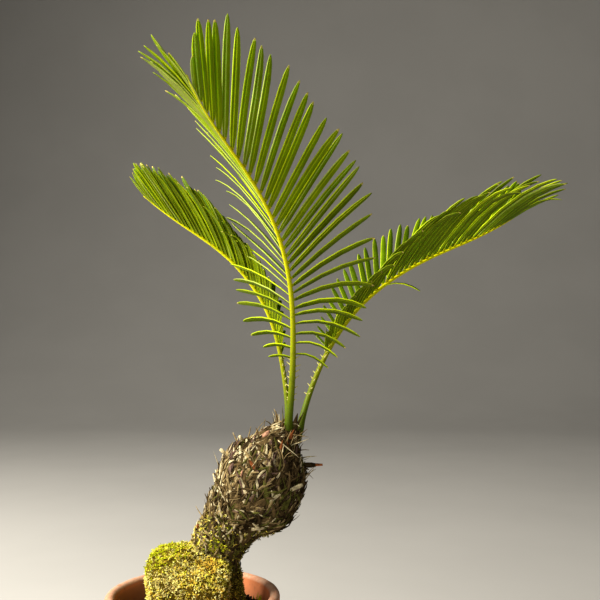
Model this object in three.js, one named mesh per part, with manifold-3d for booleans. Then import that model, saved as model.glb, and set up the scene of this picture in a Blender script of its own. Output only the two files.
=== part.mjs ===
// A young sago palm in a clay pot: a scaly leaning trunk, feathered fronds, a cushion of moss, and soil.
// Millimetres, Z up. The origin is the middle of the pot's underside, and the viewer looks along +Y.

import * as THREE from "three";
import { mergeVertices } from "three/addons/utils/BufferGeometryUtils.js";
import Module from "manifold-3d";

const wasm = await Module();
wasm.setup();

// Clearance between neighbouring pieces
const GAP = 0.3;

// Pot
const POT_HEIGHT = 136;
const POT_RADIUS = 75;
const POT_WALL = 9;
const POT_FOOT_RADIUS = 50;
const POT_FLOOR = 12;
const COLLAR_HEIGHT = 32;
const COLLAR_STEP = 5;
const RIM_ROUND = 4;
const DRAIN_COUNT = 3;
const DRAIN_RADIUS = 5;
const DRAIN_RING = 26;
const ROUND_SIDES = 48;

// Soil
const SOIL_LEVEL = 118;
const SOIL_CROWN = 1.5;

// Trunk: places up the axis as [x, height, radius], all at one depth
const TRUNK_DEPTH = 8;
const TRUNK_STATIONS = [
  [24, SOIL_LEVEL - 4, 25],
  [19, 142, 21],
  [17, 167, 21],
  [34, 195, 27],
  [51, 217, 37],
  [64, 240, 35.5],
  [75, 261, 24],
  [86, 275, 10],
];
const TRUNK_RINGS = 15;
const TRUNK_SIDES = 16;

// Old leaf bases that clothe the trunk, and the bud scales round the foot of the fronds
const SCALE_COUNT = 76;
const SCALE_FROM = 0.34;
const SCALE_TO = 0.97;
const SCALE_LENGTH = 14;
const SCALE_WIDTH = 10;
const SCALE_THICKNESS = 4.5;
const BUD_SCALE_COUNT = 9;
const BUD_SCALE_LENGTH = 24;
const BUD_RING = 9;
const GOLDEN_ANGLE = 137.5;

// Moss cushion in front of the trunk
const MOSS_CENTRE = [-3, -20];
const MOSS_HALF_WIDTH = 34;
const MOSS_HALF_DEPTH = 29;
const MOSS_TOP = 183;
const MOSS_FALL = 7;
const MOSS_SQUARENESS = 2.8;
const MOSS_LUMP = 1.2;

// Fronds. Stations are spaced evenly, from the stalk's foot to its tip or from the first leaflet to the last.
// lean is the stalk's tilt from upright, heading the way it tilts, and face the way its back is turned.
// spread is a leaflet's angle from the rib, lift its rise out of the flat, and droop its sag by its length.
// Angles are in degrees, anticlockwise from +X where they are headings.
const STALK_SIDES = 6;
const STALK_RINGS = 20;
const STALK_SUNK = 13;
const SOCKET_GAP = 0.4;
const SOCKET_RINGS = 4;
const TIP_RADIUS = 0.7;
const LEAFLET_WIDTH = 5;
const LEAFLET_THICKNESS = 1.3;
const LEAFLET_FILL = 0.62;
const SPINE_LENGTH = 5;
const SPINE_PAIRS = 4;
const FRONDS = {
  frond_front: {
    foot: [82, 2, 277],
    length: 326,
    stalkRadius: 3.2,
    lean: [6, 6, 24, 46, 50],
    heading: [359, 265, 224, 225, 250],
    face: 255,
    bare: 0.2,
    pairs: 33,
    rows: [
      {
        side: -1,
        spread: [88, 64, 58, 41, 14],
        lift: [8, 39, 44],
        reach: [22, 90, 100, 97, 12],
        droop: [0.65, 0, -0.08],
      },
      {
        side: 1,
        spread: [76, 45, 27, 24, 20],
        lift: [0, 45, 46],
        reach: [16, 82, 96, 84, 28],
        droop: [0.45, -0.02, -0.02],
      },
    ],
  },
  frond_left: {
    foot: [81, 18, 275],
    length: 268,
    stalkRadius: 2.8,
    lean: [24, 15, 36, 56, 50],
    heading: [80, 141, 167, 172, 172],
    face: 162,
    bare: 0.25,
    pairs: 25,
    rows: [
      {
        side: -1,
        spread: [56, 40, 44, 48, 32],
        lift: [58, 57, 50],
        reach: [10, 38, 54, 69, 26],
        droop: [0.12, 0.02, -0.04],
      },
      {
        side: 1,
        spread: [48, 28, 30, 30, 20],
        lift: [44, 44, 46],
        reach: [10, 38, 56, 74, 29],
        droop: [0.12, 0.02, -0.02],
      },
    ],
  },
  frond_right: {
    foot: [92, 12, 276],
    length: 318,
    stalkRadius: 3,
    lean: [18, 35, 57, 69, 61],
    heading: [43, 31, 24, 23, 25],
    face: 28,
    bare: 0.25,
    pairs: 29,
    rows: [
      {
        side: 1,
        spread: [71, 64, 58, 57, 18],
        lift: [38, 45, 35],
        reach: [38, 91, 103, 108, 50],
        droop: [0.14, 0.03, 0.15],
      },
      {
        side: -1,
        spread: [63, 50, 40, 36, 28],
        lift: [39, 42, 41],
        reach: [25, 66, 81, 98, 40],
        droop: [0.11, 0.17, 0.1],
      },
    ],
  },
};

// Looks
const CLAY = { color: 0xb5673f, roughness: 0.85, metalness: 0 };
const EARTH = { color: 0x2b2119, roughness: 0.95, metalness: 0 };
const BARK = { color: 0x6e5f47, roughness: 0.9, metalness: 0 };
const MOSS = { color: 0x8d8f35, roughness: 0.95, metalness: 0 };
const LEAF = { color: 0x5f8a1e, roughness: 0.45, metalness: 0 };

const { degToRad, lerp } = THREE.MathUtils;
const vec = (x, y, z) => new THREE.Vector3(x, y, z);

// A smooth value through evenly spaced stations
function profile(values) {
  const curve = new THREE.CatmullRomCurve3(values.map((value) => vec(value, 0, 0)), false, "catmullrom");
  return (t) => curve.getPoint(THREE.MathUtils.clamp(t, 0, 1)).x;
}

// Solids and meshes
function solid(geometry) {
  const bare = new THREE.BufferGeometry().setAttribute("position", geometry.getAttribute("position"));
  bare.setIndex(geometry.index);
  const merged = mergeVertices(bare, 1e-4);
  return new wasm.Manifold(
    new wasm.Mesh({
      numProp: 3,
      vertProperties: new Float32Array(merged.getAttribute("position").array),
      triVerts: new Uint32Array(merged.index.array),
    }),
  );
}

function largestBody(body) {
  return body.decompose().reduce((a, b) => (b.volume() > a.volume() ? b : a));
}

function mesh(name, body, look) {
  const { vertProperties, triVerts } = body.getMesh();
  const geometry = new THREE.BufferGeometry();
  geometry.setAttribute("position", new THREE.BufferAttribute(vertProperties, 3));
  geometry.setIndex(new THREE.BufferAttribute(triVerts, 1));
  geometry.computeVertexNormals();
  const made = new THREE.Mesh(geometry, new THREE.MeshStandardMaterial(look));
  made.name = name;
  return made;
}

// A closed skin over rings of equal count, each listed anticlockwise as seen from the far end
function loft(rings) {
  const count = rings[0].length;
  const last = rings.length - 1;
  const points = rings.flat();
  const faces = [];
  for (let r = 0; r < last; r++) {
    for (let k = 0; k < count; k++) {
      const next = (k + 1) % count;
      const [a, b] = [r * count + k, r * count + next];
      faces.push(a, b, b + count, a, b + count, a + count);
    }
  }
  for (let k = 1; k < count - 1; k++) {
    faces.push(0, k + 1, k);
    faces.push(last * count, last * count + k, last * count + k + 1);
  }
  const geometry = new THREE.BufferGeometry().setFromPoints(points);
  geometry.setIndex(faces);
  return geometry;
}

// An oval ring round a centre, with half-sizes along two directions
function ring(centre, across, through, halfAcross, halfThrough, count) {
  return Array.from({ length: count }, (_, k) => {
    const angle = (2 * Math.PI * k) / count;
    return centre
      .clone()
      .addScaledVector(across, halfAcross * Math.cos(angle))
      .addScaledVector(through, halfThrough * Math.sin(angle));
  });
}

// A solid turned round the upright axis, from a profile of radius and height
function turned(points) {
  const outline = points.map(([radius, height]) => new THREE.Vector2(radius, height));
  return solid(new THREE.LatheGeometry(outline, ROUND_SIDES).rotateX(Math.PI / 2));
}

// Pot and soil
const innerRadius = (height) => {
  const floorRadius = POT_FOOT_RADIUS - POT_WALL + 2;
  return lerp(floorRadius, POT_RADIUS - POT_WALL, (height - POT_FLOOR) / (POT_HEIGHT - POT_FLOOR));
};

function rimArc() {
  const steps = 6;
  const centre = POT_RADIUS - POT_WALL / 2;
  return Array.from({ length: steps + 1 }, (_, k) => {
    const angle = (Math.PI * k) / steps;
    return [centre + (POT_WALL / 2) * Math.cos(angle), POT_HEIGHT - RIM_ROUND + RIM_ROUND * Math.sin(angle)];
  });
}

function pot() {
  const collarFoot = POT_HEIGHT - COLLAR_HEIGHT;
  let body = turned([
    [0, 0],
    [POT_FOOT_RADIUS - 2, 0],
    [POT_FOOT_RADIUS, 2],
    [POT_RADIUS - COLLAR_STEP - 1, collarFoot - 2],
    [POT_RADIUS - 1.5, collarFoot + 1],
    ...rimArc(),
    [innerRadius(POT_FLOOR + 4), POT_FLOOR + 4],
    [innerRadius(POT_FLOOR) - 4, POT_FLOOR],
    [0, POT_FLOOR],
  ]);
  for (let k = 0; k < DRAIN_COUNT; k++) {
    const angle = degToRad(90 + (360 * k) / DRAIN_COUNT);
    const hole = new THREE.CylinderGeometry(DRAIN_RADIUS, DRAIN_RADIUS, 3 * POT_FLOOR, 16);
    hole.rotateX(Math.PI / 2);
    hole.translate(DRAIN_RING * Math.cos(angle), DRAIN_RING * Math.sin(angle), POT_FLOOR / 2);
    body = body.subtract(solid(hole));
  }
  return body;
}

function soil() {
  return turned([
    [0, POT_FLOOR + GAP],
    [innerRadius(POT_FLOOR) - 5, POT_FLOOR + GAP],
    [innerRadius(POT_FLOOR + 5) - 2 * GAP, POT_FLOOR + 5],
    [innerRadius(SOIL_LEVEL - SOIL_CROWN) - 2 * GAP, SOIL_LEVEL - SOIL_CROWN],
    [0.75 * POT_RADIUS, SOIL_LEVEL],
    [0, SOIL_LEVEL],
  ]);
}

// Everything below the level of the soil's top, with the clearance under the plant
function belowGround() {
  const size = 4 * POT_RADIUS;
  return solid(new THREE.BoxGeometry(size, size, size).translate(0, 0, SOIL_LEVEL + GAP - size / 2));
}

// Trunk
const trunkAxis = new THREE.CatmullRomCurve3(
  TRUNK_STATIONS.map(([x, height]) => vec(x, TRUNK_DEPTH, height)),
  false,
  "catmullrom",
);
const trunkRadius = profile(TRUNK_STATIONS.map(([, , radius]) => radius));

// Directions round the trunk at a fraction of its axis: along it, to one side, and to the back
function trunkFrame(t) {
  const along = trunkAxis.getTangent(t);
  const back = vec(0, 1, 0);
  const side = vec().crossVectors(back, along).normalize();
  return { centre: trunkAxis.getPoint(t), along, side, back };
}

function trunkCore(extra) {
  const rings = [];
  for (let r = 0; r <= TRUNK_RINGS; r++) {
    const t = r / TRUNK_RINGS;
    const { centre, side, back } = trunkFrame(t);
    const radius = trunkRadius(t) + extra;
    rings.push(ring(centre, side, back, radius, radius, TRUNK_SIDES));
  }
  return solid(loft(rings));
}

// A pointed scale: a flat foot sunk in the trunk, a broad shoulder and a blunt tip
function scale(foot, direction, out, width, thickness, length) {
  const across = vec().crossVectors(direction, out).normalize();
  const through = vec().crossVectors(direction, across);
  const at = (t) => foot.clone().addScaledVector(direction, t * length);
  return solid(
    loft([
      ring(at(0), across, through, width * 0.5, thickness * 0.55, 4),
      ring(at(0.55), across, through, width * 0.55, thickness * 0.5, 4),
      ring(at(1), across, through, width * 0.15, thickness * 0.15, 4),
    ]),
  );
}

function leafBases() {
  const scales = [];
  for (let k = 0; k < SCALE_COUNT; k++) {
    const t = lerp(SCALE_FROM, SCALE_TO, Math.pow((k + 0.5) / SCALE_COUNT, 0.85));
    const angle = degToRad(k * GOLDEN_ANGLE);
    const { centre, along, side, back } = trunkFrame(t);
    const out = side.clone().multiplyScalar(Math.cos(angle)).addScaledVector(back, Math.sin(angle));
    const size = lerp(0.7, 1.1, Math.sin(Math.PI * (k / SCALE_COUNT)));
    const foot = centre.clone().addScaledVector(out, trunkRadius(t) - 3);
    const direction = along.clone().multiplyScalar(0.85).addScaledVector(out, 0.5).normalize();
    const [width, thickness] = [SCALE_WIDTH * size, SCALE_THICKNESS * size];
    scales.push(scale(foot, direction, out, width, thickness, SCALE_LENGTH * size));
  }
  return scales;
}

function budScales() {
  const { centre, along, side, back } = trunkFrame(1);
  return Array.from({ length: BUD_SCALE_COUNT }, (_, k) => {
    const angle = (2 * Math.PI * k) / BUD_SCALE_COUNT;
    const out = side.clone().multiplyScalar(Math.cos(angle)).addScaledVector(back, Math.sin(angle));
    const foot = centre.clone().addScaledVector(out, BUD_RING).addScaledVector(along, -8);
    const direction = vec(0.15, 0, 1).addScaledVector(out, 0.25).normalize();
    const length = BUD_SCALE_LENGTH * (0.75 + 0.25 * Math.cos(3 * angle));
    return scale(foot, direction, out, 6, 3, length);
  });
}

function trunk(stalkSockets) {
  let body = trunkCore(0);
  for (const piece of [...leafBases(), ...budScales()]) {
    body = body.add(piece);
  }
  body = body.subtract(belowGround());
  for (const socket of stalkSockets) {
    body = body.subtract(socket);
  }
  return largestBody(body);
}

// Moss cushion: a squarish mound that falls away to the right, hollowed where the trunk stands
function moss() {
  const levels = [
    [0.92, 0],
    [1, 0.25],
    [0.98, 0.5],
    [0.9, 0.75],
    [0.72, 0.92],
    [0.35, 1],
  ];
  const sides = 26;
  const power = MOSS_SQUARENESS;
  const rings = levels.map(([width, rise]) =>
    Array.from({ length: sides }, (_, k) => {
      const angle = (2 * Math.PI * k) / sides;
      const [c, s] = [Math.cos(angle), Math.sin(angle)];
      const squarish = Math.pow(Math.abs(c) ** power + Math.abs(s) ** power, -1 / power);
      const reach = width * squarish * (1 + (MOSS_LUMP / MOSS_HALF_WIDTH) * Math.sin(5 * angle + 9 * rise));
      const fall = MOSS_FALL * Math.max(0, c * width) * rise;
      return vec(
        MOSS_CENTRE[0] + MOSS_HALF_WIDTH * reach * c,
        MOSS_CENTRE[1] + MOSS_HALF_DEPTH * reach * s,
        lerp(SOIL_LEVEL + GAP, MOSS_TOP, rise) - fall,
      );
    }),
  );
  return largestBody(solid(loft(rings)).subtract(trunkCore(SCALE_THICKNESS / 2)));
}

// The rib of a frond: its place and direction at a fraction of its length
function ribOf(frond) {
  const lean = profile(frond.lean);
  const heading = profile(frond.heading);
  const steps = 160;
  const tangent = (t) => {
    const [tilt, turn] = [degToRad(lean(t)), degToRad(heading(t))];
    return vec(Math.sin(tilt) * Math.cos(turn), Math.sin(tilt) * Math.sin(turn), Math.cos(tilt));
  };
  const places = [vec(...frond.foot)];
  for (let k = 0; k < steps; k++) {
    places.push(places[k].clone().addScaledVector(tangent((k + 0.5) / steps), frond.length / steps));
  }
  const point = (t) => {
    const k = Math.min(Math.floor(t * steps), steps - 1);
    return places[k].clone().lerp(places[k + 1], t * steps - k);
  };
  const backs = vec(Math.cos(degToRad(frond.face)), Math.sin(degToRad(frond.face)), 0);
  const frame = (t) => {
    const along = tangent(t);
    const upper = backs.clone().addScaledVector(along, -backs.dot(along)).normalize().negate();
    return { point: point(t), along, upper, side: vec().crossVectors(along, upper) };
  };
  return { frame, radius: (t) => lerp(frond.stalkRadius, TIP_RADIUS, Math.pow(t, 0.8)) };
}

// The stalk and rib as one tapering limb, sunk into the crown of the trunk, whole or only its lowest rings
function stalk(rib, extra, lastRing) {
  const rings = [];
  const { point, along, upper, side } = rib.frame(0);
  const sunk = point.clone().addScaledVector(along, -STALK_SUNK - extra);
  const footRadius = rib.radius(0) + extra;
  rings.push(ring(sunk, side, upper, footRadius, footRadius, STALK_SIDES).reverse());
  for (let r = 0; r <= lastRing; r++) {
    const t = r / STALK_RINGS;
    const here = rib.frame(t);
    const radius = rib.radius(t) + extra;
    rings.push(ring(here.point, here.side, here.upper, radius, radius, STALK_SIDES).reverse());
  }
  return solid(loft(rings));
}

// A narrow pointed leaflet that leaves the rib and sags along its length
function leaflet(here, direction, reach, droop, width, thickness) {
  const across = here.along.clone().addScaledVector(direction, -here.along.dot(direction)).normalize();
  const flat = vec().crossVectors(direction, across);
  const bent = Math.abs(droop) > 0.1;
  const sections = [[0, 0.5], [bent ? 0.3 : 0.45, 1], ...(bent ? [[0.65, 0.9]] : []), [1, 0.12]];
  const rings = sections.map(([t, share]) => {
    const centre = here.point.clone().addScaledVector(direction, t * reach);
    centre.z -= droop * t * t * reach;
    return ring(centre, across, flat, (share * width) / 2, (Math.max(share, 0.4) * thickness) / 2, 4);
  });
  return solid(loft(rings));
}

function leafletRow(frond, rib, row) {
  const [spread, lift, reach, droop] = [row.spread, row.lift, row.reach, row.droop].map(profile);
  const spacing = ((1 - frond.bare) * frond.length) / frond.pairs;
  const pieces = [];
  const heading = (here, w) => {
    const [open, rise] = [degToRad(spread(w)), degToRad(lift(w))];
    return here.along
      .clone()
      .multiplyScalar(Math.cos(open))
      .addScaledVector(here.side, row.side * Math.sin(open) * Math.cos(rise))
      .addScaledVector(here.upper, Math.sin(open) * Math.sin(rise));
  };
  for (let k = 0; k < frond.pairs; k++) {
    const w = (k + (row.side > 0 ? 0.25 : 0.75)) / frond.pairs;
    const here = rib.frame(lerp(frond.bare, 1, w));
    const width = Math.min(LEAFLET_WIDTH, LEAFLET_FILL * spacing * Math.sin(degToRad(spread(w))));
    pieces.push(leaflet(here, heading(here, w), reach(w), droop(w), width, LEAFLET_THICKNESS));
  }
  for (let k = 0; k < SPINE_PAIRS; k++) {
    const here = rib.frame(frond.bare * lerp(0.45, 0.92, k / (SPINE_PAIRS - 1)));
    pieces.push(leaflet(here, heading(here, 0), SPINE_LENGTH + rib.radius(0), 0, 2, LEAFLET_THICKNESS));
  }
  return pieces;
}

function frondBody(frond, rib) {
  let body = stalk(rib, 0, STALK_RINGS);
  for (const row of frond.rows) {
    for (const piece of leafletRow(frond, rib, row)) {
      body = body.add(piece);
    }
  }
  return largestBody(body);
}

// Assembly
const palm = new THREE.Group();
palm.name = "potted_sago_palm";
const ribs = Object.entries(FRONDS).map(([name, frond]) => ({ name, frond, rib: ribOf(frond) }));
const sockets = ribs.map(({ rib }) => stalk(rib, SOCKET_GAP, SOCKET_RINGS));
palm.add(mesh("pot", pot(), CLAY));
palm.add(mesh("soil", soil(), EARTH));
palm.add(mesh("moss_cushion", moss(), MOSS));
palm.add(mesh("trunk", trunk(sockets), BARK));
for (const { name, frond, rib } of ribs) {
  palm.add(mesh(name, frondBody(frond, rib), LEAF));
}

export default palm;
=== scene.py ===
"""A young sago palm beside a cushion of moss in a clay pot, dressed around its packed model."""

import math

import bmesh
import bpy
import numpy as np
from bpy.props import (
    FloatProperty,
    FloatVectorProperty,
    IntProperty,
    PointerProperty,
)
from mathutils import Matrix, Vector, noise


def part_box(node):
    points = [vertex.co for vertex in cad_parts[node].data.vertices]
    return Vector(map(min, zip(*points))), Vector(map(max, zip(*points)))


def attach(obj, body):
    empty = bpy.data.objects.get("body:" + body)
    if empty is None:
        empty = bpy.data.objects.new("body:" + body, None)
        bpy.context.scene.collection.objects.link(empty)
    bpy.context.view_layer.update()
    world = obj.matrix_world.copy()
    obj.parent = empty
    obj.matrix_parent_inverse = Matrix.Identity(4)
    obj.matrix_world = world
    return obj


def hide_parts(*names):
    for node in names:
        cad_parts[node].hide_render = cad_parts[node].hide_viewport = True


bl_info = {
    "name": "Potted Sago Palm",
    "version": (1, 0, 0),
    "blender": (4, 5, 0),
    "location": "3D View > Sidebar > Sago Palm",
    "description": "Builds a young sago palm in a mossy clay pot",
    "category": "Add Mesh",
}

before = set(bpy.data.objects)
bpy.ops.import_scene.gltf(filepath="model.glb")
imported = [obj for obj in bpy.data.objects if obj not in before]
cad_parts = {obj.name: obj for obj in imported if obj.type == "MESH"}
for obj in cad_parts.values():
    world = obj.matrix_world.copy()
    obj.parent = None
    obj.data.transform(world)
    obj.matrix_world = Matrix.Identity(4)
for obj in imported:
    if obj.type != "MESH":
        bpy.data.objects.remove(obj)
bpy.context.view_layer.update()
POT_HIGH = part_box("pot")[1]
SOIL_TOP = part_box("soil")[1].z
MOSS_LOW, MOSS_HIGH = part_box("moss_cushion")

MM = 0.001
UP = np.array((0.0, 0.0, 1.0))
GOLDEN_ANGLE = math.radians(137.5)
SEEDS = {"crumbs": 11, "sprig": 13, "moss": 23, "straws": 41, "bud_scales": 43, "neck_moss": 47, "fronds": 60}


# Settings


def length(name, description, default):
    return FloatProperty(
        name=name, description=description, default=default, subtype="DISTANCE", unit="LENGTH"
    )


def colour(name, description, default):
    return FloatVectorProperty(
        name=name, description=description, default=default, subtype="COLOR", size=3
    )


def stations(name, description, default):
    return FloatVectorProperty(name=name, description=description, default=default, size=len(default))


def amount(name, description, default):
    return FloatProperty(name=name, description=description, default=default)


def tally(name, description, default):
    return IntProperty(name=name, description=description, default=default, min=0)


def group(name, kind):
    return PointerProperty(name=name, description=kind.__doc__.rstrip("."), type=kind)


class PotSettings(bpy.types.PropertyGroup):
    """Sizes and colours of the clay pot."""

    wall: length("Wall", "Thickness of the pot's wall at the rim", 9 * MM)
    foot_radius: length("Foot radius", "Radius of the flat underside", 50 * MM)
    floor: length("Floor", "Thickness of the pot's floor", 12 * MM)
    collar: length("Collar", "Height of the thicker band under the rim", 32 * MM)
    step: length("Collar step", "How far the collar stands out from the body", 5 * MM)
    drain_radius: length("Drain radius", "Radius of each drain hole", 5 * MM)
    drain_ring: length("Drain ring", "Distance of the drain holes from the middle", 26 * MM)
    clay: colour("Clay", "Fired clay", (0.55, 0.18, 0.07))
    bloom: colour("Bloom", "Pale salt bloom on the rim", (0.6, 0.38, 0.26))
    # The stain colour also paints the shade on the left inner wall under the rim.
    stain: colour("Stain", "Damp and weathered clay", (0.24, 0.09, 0.036))


class GroundSettings(bpy.types.PropertyGroup):
    """The soil and the cushion of moss."""

    crumbs: tally("Crumbs", "Loose crumbs on the soil", 900)
    pile: tally("Pile", "Crumbs heaped against the trunk's foot", 90)
    pile_place: stations("Pile place", "Middle of the heaped crumbs", (0.046, 0.012, 0.0))
    pile_height: length("Pile height", "Height of the heaped crumbs", 14 * MM)
    sprig_blades: tally("Sprig blades", "Blades of the green sprig", 6)
    sprig_place: stations("Sprig place", "Where the green sprig grows", (0.053, 0.02, 0.0))
    moss_x: length("Moss X", "Middle of the moss cushion, across", -1 * MM)
    moss_y: length("Moss Y", "Middle of the moss cushion, in depth", -20 * MM)
    moss_half_width: length("Moss half-width", "Half the width of the cushion", 36 * MM)
    moss_half_depth: length("Moss half-depth", "Half the depth of the cushion", 29 * MM)
    moss_fall: length("Moss fall", "How far the cushion falls to the right", 13 * MM)
    moss_front: length("Moss front", "How far the cushion falls to the front", 19 * MM)
    squareness: amount("Squareness", "2 is oval, more is squarer", 4.2)
    flatness: amount("Flatness", "2 is domed, more has a flatter top", 11.0)
    rosettes: tally("Moss rosettes", "Tufts of shoots on the cushion", 8000)
    shoot_length: length("Shoot length", "Length of one moss shoot", 2.4 * MM)
    green_clump: stations("Green clump", "Where the moss on the neck is green", (0.024, -0.016, 0.181))
    neck_rosettes: tally("Neck rosettes", "Tufts of shoots tried on the neck of the trunk", 22000)
    soil: colour("Soil", "Dark potting soil", (0.035, 0.023, 0.014))
    grit: colour("Grit", "Pale grit in the soil", (0.13, 0.095, 0.06))
    brown_crumb: colour("Brown crumb", "Brown crumbs on the soil", (0.085, 0.05, 0.027))
    pale_crumb: colour("Pale crumb", "Pale crumbs on the soil", (0.22, 0.17, 0.11))
    lime: colour("Lime moss", "Fresh moss", (0.48, 0.52, 0.012))
    yellow: colour("Yellow moss", "Sunlit moss", (1.0, 0.77, 0.1))
    ochre: colour("Ochre moss", "Drying moss", (0.95, 0.6, 0.09))
    straw: colour("Straw moss", "Dead moss", (0.95, 0.78, 0.28))
    olive: colour("Olive moss", "Shaded moss", (0.14, 0.125, 0.014))
    litter: colour("Moss litter", "What shows between the shoots", (0.1, 0.068, 0.007))


class TrunkSettings(bpy.types.PropertyGroup):
    """The course of the trunk and the old leaf bases on it."""

    depth: length("Depth", "Depth of the trunk's axis", 8 * MM)
    across: stations("Across", "Places of the axis across, in mm", (24, 20, 19, 32.5, 51, 63.5, 73, 85))
    height: stations("Height", "Heights of the axis, in mm", (114, 142, 167, 195, 217, 240, 261, 275))
    radius: stations("Radius", "Radii of the trunk, in mm", (24, 21, 22.3, 26, 37.5, 35.5, 21.5, 9))
    plates: tally("Plates", "Broad old leaf bases", 280)
    slivers: tally("Slivers", "Narrow papery remains", 3000)
    straws: tally("Straws", "Thin loose fibres", 110)
    bud_scales: tally("Bud scales", "Pointed scales at the crown", 26)
    core: colour("Core", "Dark gaps between the leaf bases", (0.014, 0.009, 0.004))
    # Shade is also dealt more to the trunk's right side, away from the light, as painted shade.
    shade: colour("Shade", "Dark weathered bases", (0.03, 0.02, 0.009))
    cream: colour("Cream", "Bleached papery edges", (0.55, 0.47, 0.28))
    straw: colour("Straw", "Dry straw-coloured bases", (0.26, 0.19, 0.085))
    umber: colour("Umber", "Brown bases", (0.088, 0.058, 0.024))
    plum: colour("Plum", "Purple-brown bases", (0.13, 0.078, 0.06))
    olive: colour("Olive", "Mossy bases", (0.085, 0.083, 0.018))
    rust: colour("Rust", "Fresh torn fibre", (0.27, 0.085, 0.028))
    blush: colour("Blush", "Pinkish stubs", (0.36, 0.19, 0.12))


class LeafSettings(bpy.types.PropertyGroup):
    """Leaflet sizes and the greens of the fronds."""

    width: length("Leaflet width", "Full width of a long leaflet", 6.6 * MM)
    thickness: length("Leaflet thickness", "Thickness at the midrib", 1.1 * MM)
    tip_radius: length("Rib tip radius", "Radius of the rib at its tip", 0.7 * MM)
    sunk: length("Sunk", "How far a stalk is sunk in the crown", 13 * MM)
    spines: tally("Spines", "Spines on each side of a stalk", 7)
    upper: colour("Upper side", "Upper side of the leaflets", (0.086, 0.15, 0.001))
    under: colour("Under side", "Under side of the leaflets", (0.152, 0.22, 0.001))
    # The pale colour is partly a waxy bloom and partly painted sheen where the leaflets catch the light at a
    # glancing angle.
    pale: colour("Pale side", "Waxy leaflets with a pale bloom", (0.27, 0.33, 0.05))
    margin: colour("Margin", "Rolled edge and keel of a leaflet", (0.3, 0.38, 0.003))
    foot: colour("Leaflet foot", "Where a leaflet joins the rib", (0.42, 0.4, 0.003))
    tip: colour("Tip", "Dry leaflet tips", (0.5, 0.42, 0.1))
    rib: colour("Rib", "Upper part of the rib", (0.6, 0.6, 0.002))
    stalk: colour("Stalk", "Lower part of the stalk", (0.085, 0.126, 0.003))
    spine: colour("Spine", "Spines of the stalk", (0.52, 0.48, 0.15))


def row_fields(prefix, side, tone, spread, lift, reach, droop, turn):
    """One row of leaflets: its side of the rib, and how the leaflets stand from first to last."""
    return {
        prefix + "_side": IntProperty(name="Side", description="Side of the rib", default=side),
        # Tone paints light and shade: deep leaflets stand in shade, light ones in the light, and pale ones
        # carry a painted sheen over a waxy bloom.
        prefix + "_tone": stations("Tone", "0 is deep green, 1 middling, 2 light and 3 pale", tone),
        prefix + "_spread": stations("Spread", "Angle of the leaflets from the rib, in degrees", spread),
        prefix + "_lift": stations("Lift", "Rise of the leaflets out of the flat, in degrees", lift),
        prefix + "_reach": stations("Reach", "Length of the leaflets, in mm", reach),
        prefix + "_droop": stations("Droop", "Sag of the leaflets by their length", droop),
        prefix + "_turn": stations("Turn", "Turn of the upper face to the rib's tip, in degrees", turn),
    }


def frond_settings(
    name, foot, size, stalk, lean, heading, face, bare, places, pairs, width, near, far, stray
):
    """A settings class for one frond. Its sizes are given in mm and its angles in degrees."""
    fields = {
        "foot": stations("Foot", "Where the stalk leaves the crown, in mm", foot),
        "size": length("Length", "Length of stalk and rib together", size * MM),
        "stalk": length("Stalk radius", "Radius of the stalk at its foot", stalk * MM),
        "lean": stations("Lean", "Tilt from upright along the rib", lean),
        "heading": stations("Heading", "The way it tilts along the rib", heading),
        "face": amount("Face", "The way its back is turned", face),
        "bare": amount("Bare", "Share of the rib below the leaflets", bare),
        "places": stations("Places", "Where the leaflets stand, by the length of the frond", places),
        "pairs": tally("Pairs", "Pairs of leaflets", pairs),
        "width": amount("Width", "Leaflet width by the usual width", width),
        **row_fields("near", *near),
        **row_fields("far", *far),
        "stray": stations("Stray", "A stray near leaflet or -1, its lift, length and droop", stray),
    }
    doc = "Course of one frond and how its leaflets stand."
    return type(name, (bpy.types.PropertyGroup,), {"__doc__": doc, "__annotations__": fields})


# In each row the second list is its tone along the rib, which paints light and shade on the leaflets.
FrontFrond = frond_settings(
    "FrontFrond", (82, 2, 277), 326, 3.2, (6, 6, 24, 46, 50), (359, 265, 224, 225, 250), 255, 0.2,
    (0.178, 0.28, 0.362, 0.438, 0.523, 0.617, 0.72, 0.834, 0.953), 32, 1.15,
    (
        -1,
        (-0.5, 0, 0.7, 1, 1.2),
        (72, 70.5, 54, 55, 54.5, 51.5, 42, 27, 14),
        (8, 39, 44),
        (31, 66, 101, 102, 100.5, 102, 93, 64, -15),
        (0.62, 0.42, 0.12, 0.04, 0.01, 0, 0, 0, 0),
        (76, 34, 4, -4, 4),
    ),
    (
        1,
        (-0.5, 0.1, 1.7, 2.4, 1.9, 1.9, 2, 2.1, 2.2),
        (67, 61.5, 58, 45, 32, 14, 9, 8, 8),
        (0, 47, 61, 75, 75),
        (25, 76, 110, 118, 118, 112, 105, 71, -15),
        (0.4, 0.32, 0.2, 0.15, 0.15, 0.14, 0.13, 0.17, 0.22),
        (58, 46, 14, -20, -36),
    ),
    (-1, 0, 0, 0),
)
LeftFrond = frond_settings(
    "LeftFrond", (81, 18, 275), 268, 2.8, (24, 15, 36, 56, 50), (80, 141, 167, 172, 172), 162, 0.25,
    (0.25, 0.99), 36, 0.74,
    (
        -1,
        (0, 0.3, 0.8, 1.1),
        (30, 35, 37, 43, 46, 47.7, 43.4),
        (54, 61, 59, 30),
        (24, 62, 84, 92, 80, 63, 16),
        (0.5, 0.4, 0.09, -0.12),
        (30, -5, -12, -12, -12),
    ),
    (
        1,
        (0, 0.3, 0.7, 1),
        (24, 25, 24, 28, 27, 19.6, 8),
        (46, 54, 59, 65),
        (23, 60, 83, 93, 82, 61, 15),
        (0.5, 0.38, 0.1, -0.12),
        (20, 30, 30, 30, 30),
    ),
    (-1, 0, 0, 0),
)
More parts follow.
